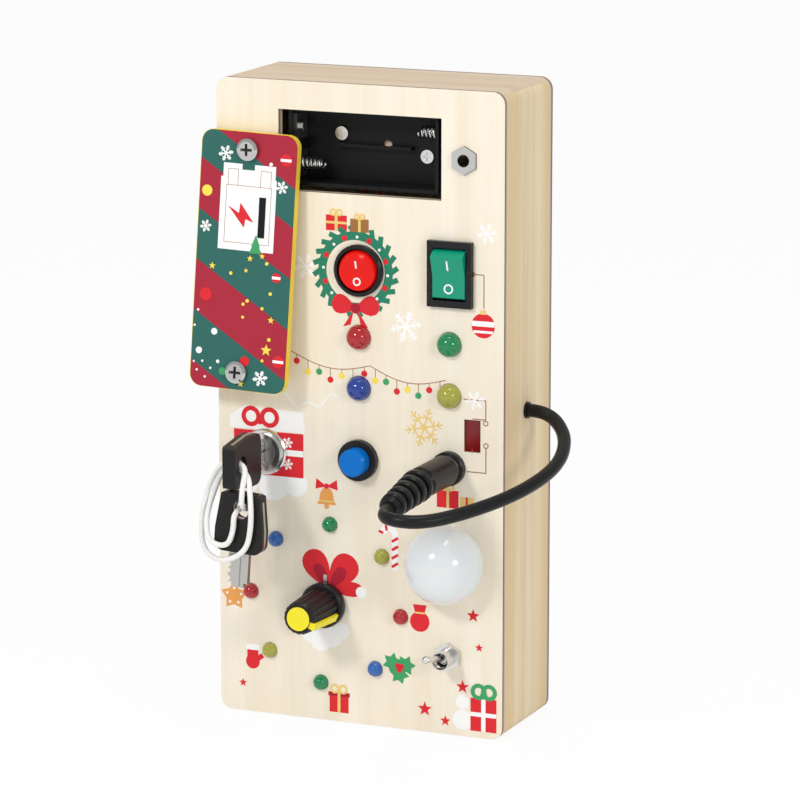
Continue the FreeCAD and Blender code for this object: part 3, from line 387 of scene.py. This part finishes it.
# Gift in a drift of snow behind the key lock, in red and white.
printed("snowy_gift",
        [(white, [[(-13.5, 6), (13.5, 6), (12.5, 12.8), (-8, 13.6), (-13.5, 10)],
                  disc(-8, -11, 5, 24), disc(2, -12, 5.4, 24), disc(10, -11.2, 4.2, 24)]),
         (red, [[(-12, -9), (12.8, -9), (12.8, 5.6), (-12, 5.6)]]),
         (white, [bar(-2.5, -9, -2.5, 5.6, 2.2), bar(-12, -1, 12.8, -1, 2.0)]
          + flake(7.2, 2.3, 1.9, 0.35) + flake(7.2, -4.8, 1.9, 0.35)),
         (red, rim(-5.8, 10.2, 3.4, 1.9) + rim(0.8, 10.2, 3.4, 1.9) + [disc(-2.5, 9.2, 1.5, 16)])],
        on_face(-32.6, 89.3))

# Bell, hanging bauble, and the thin circuit lines beside the right column with three small open
# circles at their ends.
bell = [(-3.4, -3.0), (3.4, -3.0), (2.6, -1.6), (2.2, 0.8), (1.2, 2.4), (-1.2, 2.4), (-2.2, 0.8),
        (-2.6, -1.6)]
printed("bell", [(amber, [bell, disc(0, -3.6, 0.9, 14)]), (gold, [bar(-2.6, -1.9, 2.6, -1.9, 0.5)]),
                 (red, [[(0, 3.0), (-3.6, 5.4), (-3.9, 2.0)], [(0, 3.0), (3.6, 5.4), (3.9, 2.0)],
                        disc(0, 3.1, 0.9, 14)])], on_face(-11.6, 75.4))
printed("hanging_bauble",
        [(red, [disc(0, 0, 4.0)]),
         (white, [bar(-3.9, 0.6, 3.9, 0.6, 1.7), bar(-3.3, -2, 3.3, -2, 0.8)]
          + flake(0, 0.6, 0.8, 0.3)),
         (gold, [bar(0, 3.6, 0, 5.0, 1.8)])], on_face(42.9, 135.4))
lines = [((39.6, 151.7), (43.1, 151.7), (43.1, 141)), ((36.2, 111.2), (43.9, 111.2), (43.9, 105)),
         ((39.3, 93.9), (39.3, 95.0)), ((44.0, 95.7), (44.0, 87.7), (37.4, 87.7)),
         ((43.9, 105), (39.3, 105))]
wiring = [bar(*a, *b, 0.32) for line in lines for a, b in zip(line, line[1:])]
ends = rim(43.9, 103.9, 0.9, 0.6) + rim(44.0, 96.6, 0.9, 0.6) + rim(39.3, 151.7, 0.8, 0.5)
printed("circuit_lines", [(brown, wiring + ends)], on_face(0, 0))

# Small ornaments over the lower half: candy cane, gifts, spice star, mitten, holly, bag and stars.
stick = [bar(0.9, -7.4, 0.9, 4.2, 2.2)] + rim(-1.3, 4.2, 3.3, 1.1, 0, 180, 16)
twists = [bar(-0.2, z, 2.0, z + 1.4, 0.9) for z in (-6.4, -3.6, -0.8, 2.0)]
twists += [bar(-2.0, 5.5, -2.3, 7.3, 0.9), bar(-3.2, 4.6, -4.8, 5.2, 0.9)]
printed("candy_cane", [(white, stick), (red, twists)], on_face(11.6, 60.2))
printed("gift_pair",
        [(red, [[(-6.5, -3.2), (1, -3.2), (1, 2.6), (-6.5, 2.6)]]),
         (gold, [[(1.6, -3.2), (6.2, -3.2), (6.2, 0.8), (1.6, 0.8)],
                 bar(-2.7, -3.2, -2.7, 2.6, 0.9)]
          + rim(-3.8, 3.5, 1.2, 0.6) + rim(-1.6, 3.5, 1.2, 0.6)),
         (red, [bar(3.9, -3.2, 3.9, 0.8, 0.7)])], on_face(33.6, 78.4))
printed("spice_star", [(amber, [star(0, 0, 4.9, 5, 0.6)]),
                       (white, [disc(*around(2.6, turn), 0.45, 12) for turn in range(18, 378, 72)])],
        on_face(-45.0, 38.6))
printed("red_mitten",
        [(red, [disc(0, -1.6, 2.5), bar(0, -1, 0, 2.6, 4.0), bar(1.6, -0.8, 3.6, 0.8, 1.7)]),
         (white, [bar(-2.4, 3.2, 2.4, 3.2, 1.8)])], on_face(-38.4, 18.6))
printed("small_star", [(red, [star(0, 0, 1.5)])], on_face(-42.0, 9.4))
printed("gift_box",
        [(red, [[(-3.4, -4.4), (3.4, -4.4), (3.4, 1.4), (-3.4, 1.4)]]),
         (deep_red, [[(-3.8, 1.0), (3.8, 1.0), (3.8, 2.4), (-3.8, 2.4)]]),
         (gold, [bar(0, -4.4, 0, 2.4, 1.0)] + rim(-1.5, 3.5, 1.6, 0.9) + rim(1.5, 3.5, 1.6, 0.9))],
        on_face(-7.4, 7.4))
holly = [star(x, z, 3.6, 6, 0.6, turn)
         for x, z, turn in ((-2.2, 1.2, 20), (2.4, 0.8, 5), (0.2, -2.2, 50))]
printed("holly", [(leaf, holly), (red, [disc(-0.4, 0.4, 0.95, 14), disc(1.0, 0.2, 0.95, 14),
                                       disc(0.2, -0.9, 0.95, 14)])], on_face(13.8, 20.6))
printed("red_bag", [(red, [disc(0, -1.2, 3.4), [(-1.6, 1.6), (1.6, 1.6), (2.4, 4.4), (-2.4, 4.4)]]),
                    (gold, [bar(-1.7, 1.7, 1.7, 1.7, 0.6)])], on_face(21.2, 37.8))
for name, x, z, radius in (("star_upper", 39.8, 40.4, 2.3), ("star_right", 41.9, 30.0, 1.5),
                           ("star_low", 23.0, 7.6, 2.6), ("star_corner", 30.2, 4.4, 1.9)):
    printed(name, [(red, [star(0, 0, radius)])], on_face(x, z))

# Red bow above the knob, a white drift of snow below it, and a gift in the lower right corner.
printed("knob_bow",
        [(red, [petal(-1, 2, 14.0, 9.0, 122), petal(-1, 2, 14.0, 9.5, 52),
                petal(-1, 2, 12.0, 5.0, 2)]),
         (deep_red, [petal(-1, 2, 9.0, 4.0, 122), petal(-1, 2, 9.0, 4.2, 52)]),
         (white, [disc(10.4, 1.6, 1.9, 18)])], on_face(-9.8, 42.6))
drift = [disc(-5, 1.4, 3.4), disc(-1.4, -0.8, 3.9), disc(2.8, 0.4, 3.5), disc(6.2, 2.8, 2.7)]
printed("knob_snow", [(white, drift)], on_face(-12.6, 27.8))
printed("corner_gift",
        [(white, [disc(-5.0, -5.6, 3.4), disc(-5.0, 0.4, 2.4)]),
         (red, [[(-2.2, -8.8), (6.8, -8.8), (6.8, 2.2), (-2.2, 2.2)], star(-5.0, 5.4, 2.3)]),
         (white, [bar(2.3, -8.8, 2.3, 2.2, 1.5), bar(-2.2, -3.2, 6.8, -3.2, 1.4)]),
         (leaf, rim(0.6, 4.4, 2.7, 1.4) + rim(4.2, 4.4, 2.7, 1.4) + [disc(2.4, 3.2, 1.2, 14)])],
        on_face(41.2, 11.0))

# Battery tray: moulded black plastic behind the window, with a coiled steel spring at one end of
# each lane and a pressed plate at the other, screwed to a wooden block.
fine_noise = bpy.data.node_groups.new("fine_noise", "ShaderNodeTree")
for label, start in (("Scale", 400.0), ("Low", 0.3), ("High", 0.6)):
    socket = fine_noise.interface.new_socket(label, in_out="INPUT", socket_type="NodeSocketFloat")
    socket.default_value = start
for label in ("Roughness", "Height"):
    fine_noise.interface.new_socket(label, in_out="OUTPUT", socket_type="NodeSocketFloat")
entry = fine_noise.nodes.new("NodeGroupInput")
leave = fine_noise.nodes.new("NodeGroupOutput")
where = fine_noise.nodes.new("ShaderNodeTexCoord")
speck = fine_noise.nodes.new("ShaderNodeTexNoise")
speck.inputs["Detail"].default_value = 3.0
spread = fine_noise.nodes.new("ShaderNodeMapRange")
fine_noise.links.new(where.outputs["Object"], speck.inputs["Vector"])
fine_noise.links.new(entry.outputs["Scale"], speck.inputs["Scale"])
fine_noise.links.new(speck.outputs["Fac"], spread.inputs["Value"])
fine_noise.links.new(entry.outputs["Low"], spread.inputs["To Min"])
fine_noise.links.new(entry.outputs["High"], spread.inputs["To Max"])
fine_noise.links.new(spread.outputs[0], leave.inputs["Roughness"])
fine_noise.links.new(speck.outputs["Fac"], leave.inputs["Height"])


def grained(name, colour, low, high, scale=400.0, metal=0.0, coat=0.0, bump=0.0):
    """One colour with a fine uneven gloss."""
    material = plain(name, colour, low, metal, coat)
    tree = material.node_tree
    shader = tree.nodes["Principled BSDF"]
    grain = tree.nodes.new("ShaderNodeGroup")
    grain.node_tree = fine_noise
    grain.inputs["Scale"].default_value = scale
    grain.inputs["Low"].default_value = low
    grain.inputs["High"].default_value = high
    tree.links.new(grain.outputs["Roughness"], shader.inputs["Roughness"])
    if bump:
        relief = tree.nodes.new("ShaderNodeBump")
        relief.inputs["Distance"].default_value = bump
        tree.links.new(grain.outputs["Height"], relief.inputs["Height"])
        tree.links.new(relief.outputs["Normal"], shader.inputs["Normal"])
    return material


tray_black = grained("tray_black", (0.007, 0.007, 0.008), 0.32, 0.5, 900, bump=0.00002)
spring_steel = grained("spring_steel", (0.72, 0.72, 0.71), 0.16, 0.28, 600, metal=1.0)
dress(tray_black, "battery_holder")
dress(spring_steel, "battery_springs", "battery_contacts", "battery_holder_screws",
      "blue_button_spring")
dress(plain("wire_red", (0.6, 0.02, 0.02), 0.35), "battery_wires")

# Nuts, cover screws, toggle and lock: turned steel, plated bright or left a little dull.
nickel = grained("nickel", (0.74, 0.73, 0.71), 0.14, 0.30, 350, metal=1.0, bump=0.00001)
dull_steel = grained("dull_steel", (0.56, 0.55, 0.53), 0.28, 0.42, 500, metal=1.0, bump=0.00001)
polished = grained("polished", (0.58, 0.57, 0.56), 0.08, 0.18, 350, metal=1.0, bump=0.00001)
dress(polished, "cover_hex_nuts", "cover_pivot_screw", "cover_lock_screw")
dress(nickel, "toggle_body", "toggle_nut", "toggle_lever", "key_lock_housing", "plug_sleeve",
      "potentiometer_shaft")
dress(dull_steel, "key_lock_plug", "key_blade", "spare_key_blade", "key_lock_nut",
      "potentiometer_body", "potentiometer_nut", "back_panel_screws")

# Cover: a wooden tile with painted yellow edges and a print of green and dark red stripes, with
# snowflakes, baubles and a white cell sign, under a slightly grainy varnish.
cover_edge = plain("cover_edge", (0.90, 0.68, 0.06), 0.5)
dress(cover_edge, "cover_plate")
tile_green = grained("tile_green", (0.028, 0.135, 0.115), 0.45, 0.6, 2500, bump=0.00005)
tile_red = grained("tile_red", (0.40, 0.022, 0.045), 0.45, 0.6, 2500, bump=0.00005)
cover_hang = math.radians(1.65)
cover_lean = math.radians(4.7)
pivot = Vector((-36.3 * MM, face_y - 1.4 * MM, 187.8 * MM))
tile = (Matrix.Translation(pivot) @ Matrix.Rotation(cover_hang, 4, "Y")
        @ Matrix.Rotation(math.pi / 2 - cover_lean, 4, "X") @ Matrix.Translation((0, 0, 3 * MM)))


def rounded(left, low, right, high, radius):
    """A rectangle with round corners."""
    outline = []
    for x, z, start in ((right - radius, high - radius, 0), (left + radius, high - radius, 90),
                        (left + radius, low + radius, 180), (right - radius, low + radius, 270)):
        for i in range(7):
            angle = math.radians(start + 15 * i)
            outline.append((x + radius * math.cos(angle), z + radius * math.sin(angle)))
    return outline


def clipped(outline, limit, keep_above):
    """The part of a convex outline above, or below, the slanted line z + 0.6 x = limit."""
    kept = []
    for a, b in zip(outline, outline[1:] + outline[:1]):
        side_a = (a[1] + 0.6 * a[0] - limit) * (1 if keep_above else -1)
        side_b = (b[1] + 0.6 * b[0] - limit) * (1 if keep_above else -1)
        if side_a >= 0:
            kept.append(a)
        if side_a * side_b < 0:
            share = side_a / (side_a - side_b)
            kept.append((a[0] + (b[0] - a[0]) * share, a[1] + (b[1] - a[1]) * share))
    return kept


sheet_outline = rounded(-16.7, -78.1, 16.9, 5.1, 3.9)
stripe_red = []
for top in (14.8, -14.1, -46.9, -79.7):
    band = clipped(clipped(sheet_outline, top, False), top - 16.4, True)
    if len(band) > 2:
        stripe_red.append(band)
cell_lines = []
for left, low, right, high in ((-7.2, -30.6, 8.6, -12.2), (-6.8, -12.2, -3.3, -7.0),
                               (4.7, -12.2, 8.3, -7.0)):
    corners = [(left, low), (right, low), (right, high), (left, high)]
    cell_lines += [bar(*a, *b, 0.16) for a, b in zip(corners, corners[1:] + corners[:1])]
cell_white = [[(-9.3, -33), (10.3, -33), (10.3, -9.6), (-9.3, -9.6)],
              [(-8.6, -9.6), (-2.0, -9.6), (-2.0, -5.2), (-8.6, -5.2)],
              [(2.4, -9.6), (9.8, -9.6), (9.8, -5.2), (2.4, -5.2)],
              [(-2.0, -9.6), (2.4, -9.6), (2.4, -7.0), (-2.0, -7.0)]]
bolt = [[(-6.3, -18.9), (-2.4, -21.0), (-2.0, -17.7), (2.9, -23.7), (0.0, -22.8), (-0.4, -25.6)]]
white_dots = [disc(x, z, r, 14) for x, z, r in
              ((-8.9, -60, 1.1), (-14, -66.6, 1.1), (8, -4.5, 0.6), (-15, -53.5, 0.4),
               (-16, -58.6, 0.4), (-7.1, -69.6, 0.6), (-12.6, -70, 0.4), (-14.4, -73, 0.4),
               (-9.6, -72, 0.4), (-11.4, -75, 0.4), (-15.6, -70.4, 0.35))]
yellow_marks = [star(x, z, r) for x, z, r in
                ((2.4, -35.3, 1.1), (-10.8, -38.8, 1.2), (10.9, -54.5, 1.2), (9.8, -64.3, 2.0),
                 (1.2, -39.3, 0.8), (6.6, -34.2, 1.0), (1.4, -76.0, 1.2))]
yellow_marks += [disc(x, z, r, 12) for x, z, r in
                 ((8.4, -36.4, 0.6), (10.2, -46, 0.6), (7.6, -51, 0.55), (2.2, -49, 0.6),
                  (0.8, -50.2, 0.55), (0.9, -54.4, 0.5), (10.6, -60.8, 0.6), (8.6, -67.8, 0.5),
                  (-4.1, -40.6, 0.6))]
tile_baubles = [disc(13.2, -2.8, 2.0), disc(12, -40.7, 1.6), disc(-12.6, -48.2, 2.1),
                disc(14.2, -67.6, 2.0), disc(2.4, -68.6, 1.6)]
caps = [bar(x - r, z, x + r, z, 0.9)
        for x, z, r in ((13.2, -2.8, 1.9), (12, -40.7, 1.5), (14.2, -67.6, 1.9))]
printed("cover_print",
        [(tile_green, [sheet_outline]), (tile_red, stripe_red),
         (white, cell_white + flake(-8.1, -2.2, 2.6, 0.45) + flake(12.2, -11.6, 2.1, 0.4)
          + flake(-13.9, -26.2, 2.0, 0.4) + flake(8.2, -73.6, 2.6, 0.45) + white_dots),
         (brown, cell_lines), (red, bolt + tile_baubles),
         (yellow, yellow_marks + [disc(-14, -14.7, 1.8)]), (white, caps),
         (leaf, [disc(-5.2, -72.6, 1.3), [(1.9, -33.6), (6.3, -33.6), (4.1, -28.8)],
                 [(2.6, -31.4), (5.6, -31.4), (4.1, -27.6)]]),
         (tray_black, [[(4.6, -28.4), (6.9, -28.4), (6.9, -15.4), (4.6, -15.4)]])],
        tile, "cover")

# Painted shade in the cross recesses of the two cover screws: a dark cross laid on the bottom of
# each recess, standing in for the shade there.
recess_shade = plain("recess_shade", (0.03, 0.03, 0.03), 0.5)
shade_cross = [bar(-1.9, 0, 1.9, 0, 0.84), bar(0, -1.9, 0, 1.9, 0.84)]
recess_floor = 1.0
under_pivot_head = 4.75
at_pivot = on_face(-36.3, 187.8) @ Matrix.Translation((0, 0, (under_pivot_head + recess_floor) * MM))
at_lock = tile @ Matrix.Translation((0, -72.35 * MM, (recess_floor + 0.05) * MM))
printed("pivot_recess_painted_shade", [(recess_shade, shade_cross)], at_pivot, "board")
printed("lock_recess_painted_shade", [(recess_shade, shade_cross)], at_lock, "lock_screw")

# Rocker switches: moulded black bezels and housings, with glossy paddles that are marked in
# white with a bar for on and a ring for off.
moulded_black = grained("moulded_black", (0.014, 0.014, 0.015), 0.22, 0.34, 700)
dress(moulded_black, "red_rocker_housing", "green_rocker_housing", "blue_button_housing",
      "blue_button_nut", "jack_body", "jack_collar_nut")
dress(plain("red_paddle", (0.80, 0.008, 0.005), 0.20, gleam=0.2), "red_rocker_paddle")
dress(plain("green_paddle", (0.003, 0.30, 0.17), 0.20, gleam=0.35), "green_rocker_paddle")


throw = math.radians(9)


def mark(name, axle, ridge, radius, offset, long, body):
    """A bar on the upper half of a paddle and a ring on the lower half, laid on its slopes."""
    spot = Matrix.Translation(axle) @ Matrix.Rotation(math.pi / 2 + throw, 4, "X")
    for kind, side in (("on", 1), ("off", -1)):
        slope = Matrix.Rotation(throw * side, 4, "X")
        lie = spot @ Matrix.Translation((0, 0, ridge * MM)) @ slope
        lie = lie @ Matrix.Translation((0, side * offset * MM, -0.01 * MM))
        shapes = rim(0, 0, radius, radius - 0.5)
        if kind == "on":
            shapes = [bar(0, -long, 0, long, 0.55)]
        printed(f"{name}_{kind}_mark", [(white, shapes)], lie, body)


mark("red", (0.2 * MM, face_y + 1 * MM, 150.3 * MM), 3.3, 1.35, 2.9, 1.3, "red_paddle")
mark("green", (31.9 * MM, face_y + 1.5 * MM, 151.3 * MM), 3.9, 1.6, 3.9, 1.7, "green_paddle")

# Lamps: glossy domes that are cast in one colour each, a dark red bar, and a milky blown dome for
# the large lamp.
lamp_finish = {"lamp_red": ((0.40, 0.012, 0.018), ("large_led_red", "small_leds_red")),
               "lamp_blue": ((0.016, 0.045, 0.28), ("large_led_blue",)),
               "lamp_light_blue": ((0.02, 0.12, 0.42), ("small_leds_blue",)),
               "lamp_green": ((0.006, 0.22, 0.075), ("large_led_green", "small_leds_green")),
               "lamp_yellow": ((0.36, 0.35, 0.05), ("large_led_yellow", "small_leds_yellow"))}
for name, (colour, nodes) in lamp_finish.items():
    dress(plain(name, colour, 0.10, gleam=0.6), *nodes)
dress(plain("bar_red", (0.20, 0.006, 0.008), 0.15, gleam=0.4), "red_light_window")
milk = plain("milk", (0.79, 0.79, 0.80), 0.16, gleam=0.5)
milk_shader = milk.node_tree.nodes["Principled BSDF"]
milk_shader.inputs["Subsurface Weight"].default_value = 0.25
milk_shader.inputs["Subsurface Scale"].default_value = 0.004
dress(milk, "bulb_dome")
board_green = grained("board_green", (0.015, 0.14, 0.05), 0.3, 0.45, 300)
dress(board_green, "control_board", "led_ring_board", "bulb_led_base")
dress(plain("button_blue", (0.001, 0.155, 0.56), 0.22, gleam=0.15), "blue_button_cap")

# Spring of the blue button: bright steel wire, which on the real switch shortens towards its back
# end as the cap goes in. Here it is a copy with a mesh of its own, fixed to the board.
steel_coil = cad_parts["blue_button_spring"]
coil = bpy.data.objects.new("button_coil", steel_coil.data.copy())
coil.matrix_world = steel_coil.matrix_world.copy()
bpy.context.scene.collection.objects.link(coil)
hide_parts("blue_button_spring")
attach(coil, "board")
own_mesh(coil)

# A drop of red enamel on the raised ring of the key lock, black moulded bows on both keys, and the
# black knob with its yellow disc and strip.
printed("lock_dot", [(deep_red, [disc(0, 0, 0.75, 18)])],
        on_face(-34.0, 82.95) @ Matrix.Translation((0, 0, 3 * MM)), "board")
bow_black = grained("bow_black", (0.016, 0.015, 0.015), 0.3, 0.45, 800, bump=0.00002)
dress(bow_black, "key_bow", "spare_key_bow", "control_knob")
dress(plain("knob_yellow", (0.88, 0.76, 0.03), 0.4), "knob_pointer")

# White cord: braided cotton, 1.8 mm, knotted behind the spare key and looped twice through the
# hole of the other.
string_route = [(-28.9, -40.6, 74.2), (-28.9, -48.8, 74.4), (-28.5, -48.8, 82), (-28.5, -45, 89.3),
                (-37.9, -43.2, 89.3), (-42.8, -43.3, 81.5), (-45.6, -43.7, 70), (-43.6, -47, 60),
                (-35.5, -49.2, 57.2), (-27, -49.3, 61.5), (-25.2, -49.1, 70), (-25.6, -48.6, 79),
                (-28.1, -45, 87.2), (-37.9, -42.6, 87), (-41, -43, 79.5), (-43, -45.5, 71),
                (-40.8, -48.8, 63.6), (-34, -49.1, 62.4), (-31.6, -49, 67.6), (-31.4, -48.9, 74.4),
                (-31.4, -42.9, 74.4)]


def flex(name, route, thick, material):
    """A round cord along points in millimetres, as a mesh, with the points of its middle line."""
    curve = bpy.data.curves.new(name, "CURVE")
    curve.dimensions = "3D"
    curve.bevel_resolution = 5
    curve.resolution_u = 12
    spline = curve.splines.new("NURBS")
    spline.points.add(len(route) - 1)
    for point, (x, y, z) in zip(spline.points, route):
        point.co = (x * MM, y * MM, z * MM, 1)
    spline.order_u = 3
    spline.use_endpoint_u = True
    curve.materials.append(material)
    line = bpy.data.objects.new(name, curve)
    bpy.context.scene.collection.objects.link(line)
    meshes = []
    for radius in (0, thick / 2 * MM):
        curve.bevel_depth = radius
        curve.use_fill_caps = radius > 0
        bpy.context.view_layer.update()
        evaluated = line.evaluated_get(bpy.context.evaluated_depsgraph_get())
        meshes.append(bpy.data.meshes.new_from_object(evaluated))
    bpy.data.objects.remove(line)
    middle, tube = meshes
    for polygon in tube.polygons:
        polygon.use_smooth = True
    piece = bpy.data.objects.new(name, tube)
    bpy.context.scene.collection.objects.link(piece)
    return piece, [tuple(vertex.co) for vertex in middle.vertices]


cotton = grained("cotton", (0.90, 0.89, 0.87), 0.8, 0.95, 2200, bump=0.0003)
string, string_path = flex("white_cord", string_route, 1.8, cotton)
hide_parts("key_string")
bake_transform(string)

# Plug cable: black rubber flex, 4.3 mm, from the ribbed tail of the plug round into the grommet
# in the right side.
rubber_black = grained("rubber_black", (0.010, 0.010, 0.011), 0.30, 0.42, 600, bump=0.00002)
dress(rubber_black, "plug_grip", "cable_grommet")
droop = math.radians(6.5)
grip_end = 24.15
relief = 25.15
straight = 5.6
tail = (31.4, face_y / MM - grip_end - relief * math.cos(droop), 88.3 - relief * math.sin(droop))
cable_route = [tail, (tail[0], tail[1] - straight * math.cos(droop),
                      tail[2] - straight * math.sin(droop)),
               (37.6, -80, 84.6), (46, -77.6, 84.2), (54.5, -68.5, 85.4), (63.5, -54.5, 88),
               (69, -40, 90.9), (70.9, -25, 94.4), (67.6, -11, 98.7), (61.4, -2.6, 102.6),
               (55.6, -0.8, 105), (50.85, -0.8, 105)]
cable, cable_path = flex("cable", cable_route, 4.3, rubber_black)
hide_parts("plug_cable")
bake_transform(cable)

# Studio: a white floor and backdrop that the camera, gloss and glass see as plain white.
bpy.ops.mesh.primitive_plane_add(size=6, location=(0, 0, -0.0002))
floor = bpy.context.object
floor.name = "floor"
ground = plain("ground", (0.93, 0.93, 0.93), 0.9)
tree = ground.node_tree
glow = tree.nodes.new("ShaderNodeEmission")
glow.inputs["Strength"].default_value = 1.0
rays = tree.nodes.new("ShaderNodeLightPath")
seen = tree.nodes.new("ShaderNodeMath")
seen.operation = "MAXIMUM"
mixed = tree.nodes.new("ShaderNodeMixShader")
share = tree.nodes.new("ShaderNodeMath")
share.operation = "MULTIPLY"
share.inputs[1].default_value = 0.93
output = tree.nodes["Material Output"]
tree.links.new(rays.outputs["Is Camera Ray"], seen.inputs[0])
tree.links.new(rays.outputs["Is Glossy Ray"], seen.inputs[1])
tree.links.new(seen.outputs[0], share.inputs[0])
tree.links.new(share.outputs[0], mixed.inputs[0])
tree.links.new(tree.nodes["Principled BSDF"].outputs[0], mixed.inputs[1])
tree.links.new(glow.outputs[0], mixed.inputs[2])
tree.links.new(mixed.outputs[0], output.inputs["Surface"])
floor.data.materials.append(ground)

world = bpy.data.worlds.new("studio")
bpy.context.scene.world = world
world.use_nodes = True
tree = world.node_tree
rays = tree.nodes.new("ShaderNodeLightPath")
seen = tree.nodes.new("ShaderNodeMath")
seen.operation = "MAXIMUM"
strength = tree.nodes.new("ShaderNodeMapRange")
strength.inputs["To Min"].default_value = 0.55
strength.inputs["To Max"].default_value = 1.0
tree.links.new(rays.outputs["Is Camera Ray"], seen.inputs[0])
tree.links.new(rays.outputs["Is Transmission Ray"], seen.inputs[1])
tree.links.new(seen.outputs[0], strength.inputs["Value"])
tree.links.new(strength.outputs[0], tree.nodes["Background"].inputs["Strength"])
tree.nodes["Background"].inputs["Color"].default_value = (1, 1, 1, 1)

for name, place, power, size in (("key_light", (-0.35, -1.1, 0.85), 5.8, 0.22),
                                 ("fill_light", (1.1, -0.7, 0.5), 3.4, 0.25),
                                 ("top_light", (0.1, -0.1, 1.3), 3.4, 0.35)):
    lamp = bpy.data.lights.new(name, "AREA")
    lamp.energy = power
    lamp.size = size
    holder = bpy.data.objects.new(name, lamp)
    holder.location = place
    aim = Vector((0, 0, 0.1)) - Vector(place)
    holder.rotation_euler = aim.to_track_quat("-Z", "Y").to_euler()
    bpy.context.scene.collection.objects.link(holder)

# Camera: solved from the photograph's box corners, on a long lens with no shift.
lens = bpy.data.cameras.new("camera")
lens.lens = 196.07
lens.sensor_width = 36
lens.clip_start = 0.05
camera = bpy.data.objects.new("camera", lens)
camera.location = (0.55228, -1.27462, 0.39470)
camera.rotation_euler = (math.radians(90 - 11.82), 0, math.radians(23.22))
bpy.context.scene.collection.objects.link(camera)
bpy.context.scene.camera = camera
bpy.context.scene.view_settings.view_transform = "Standard"
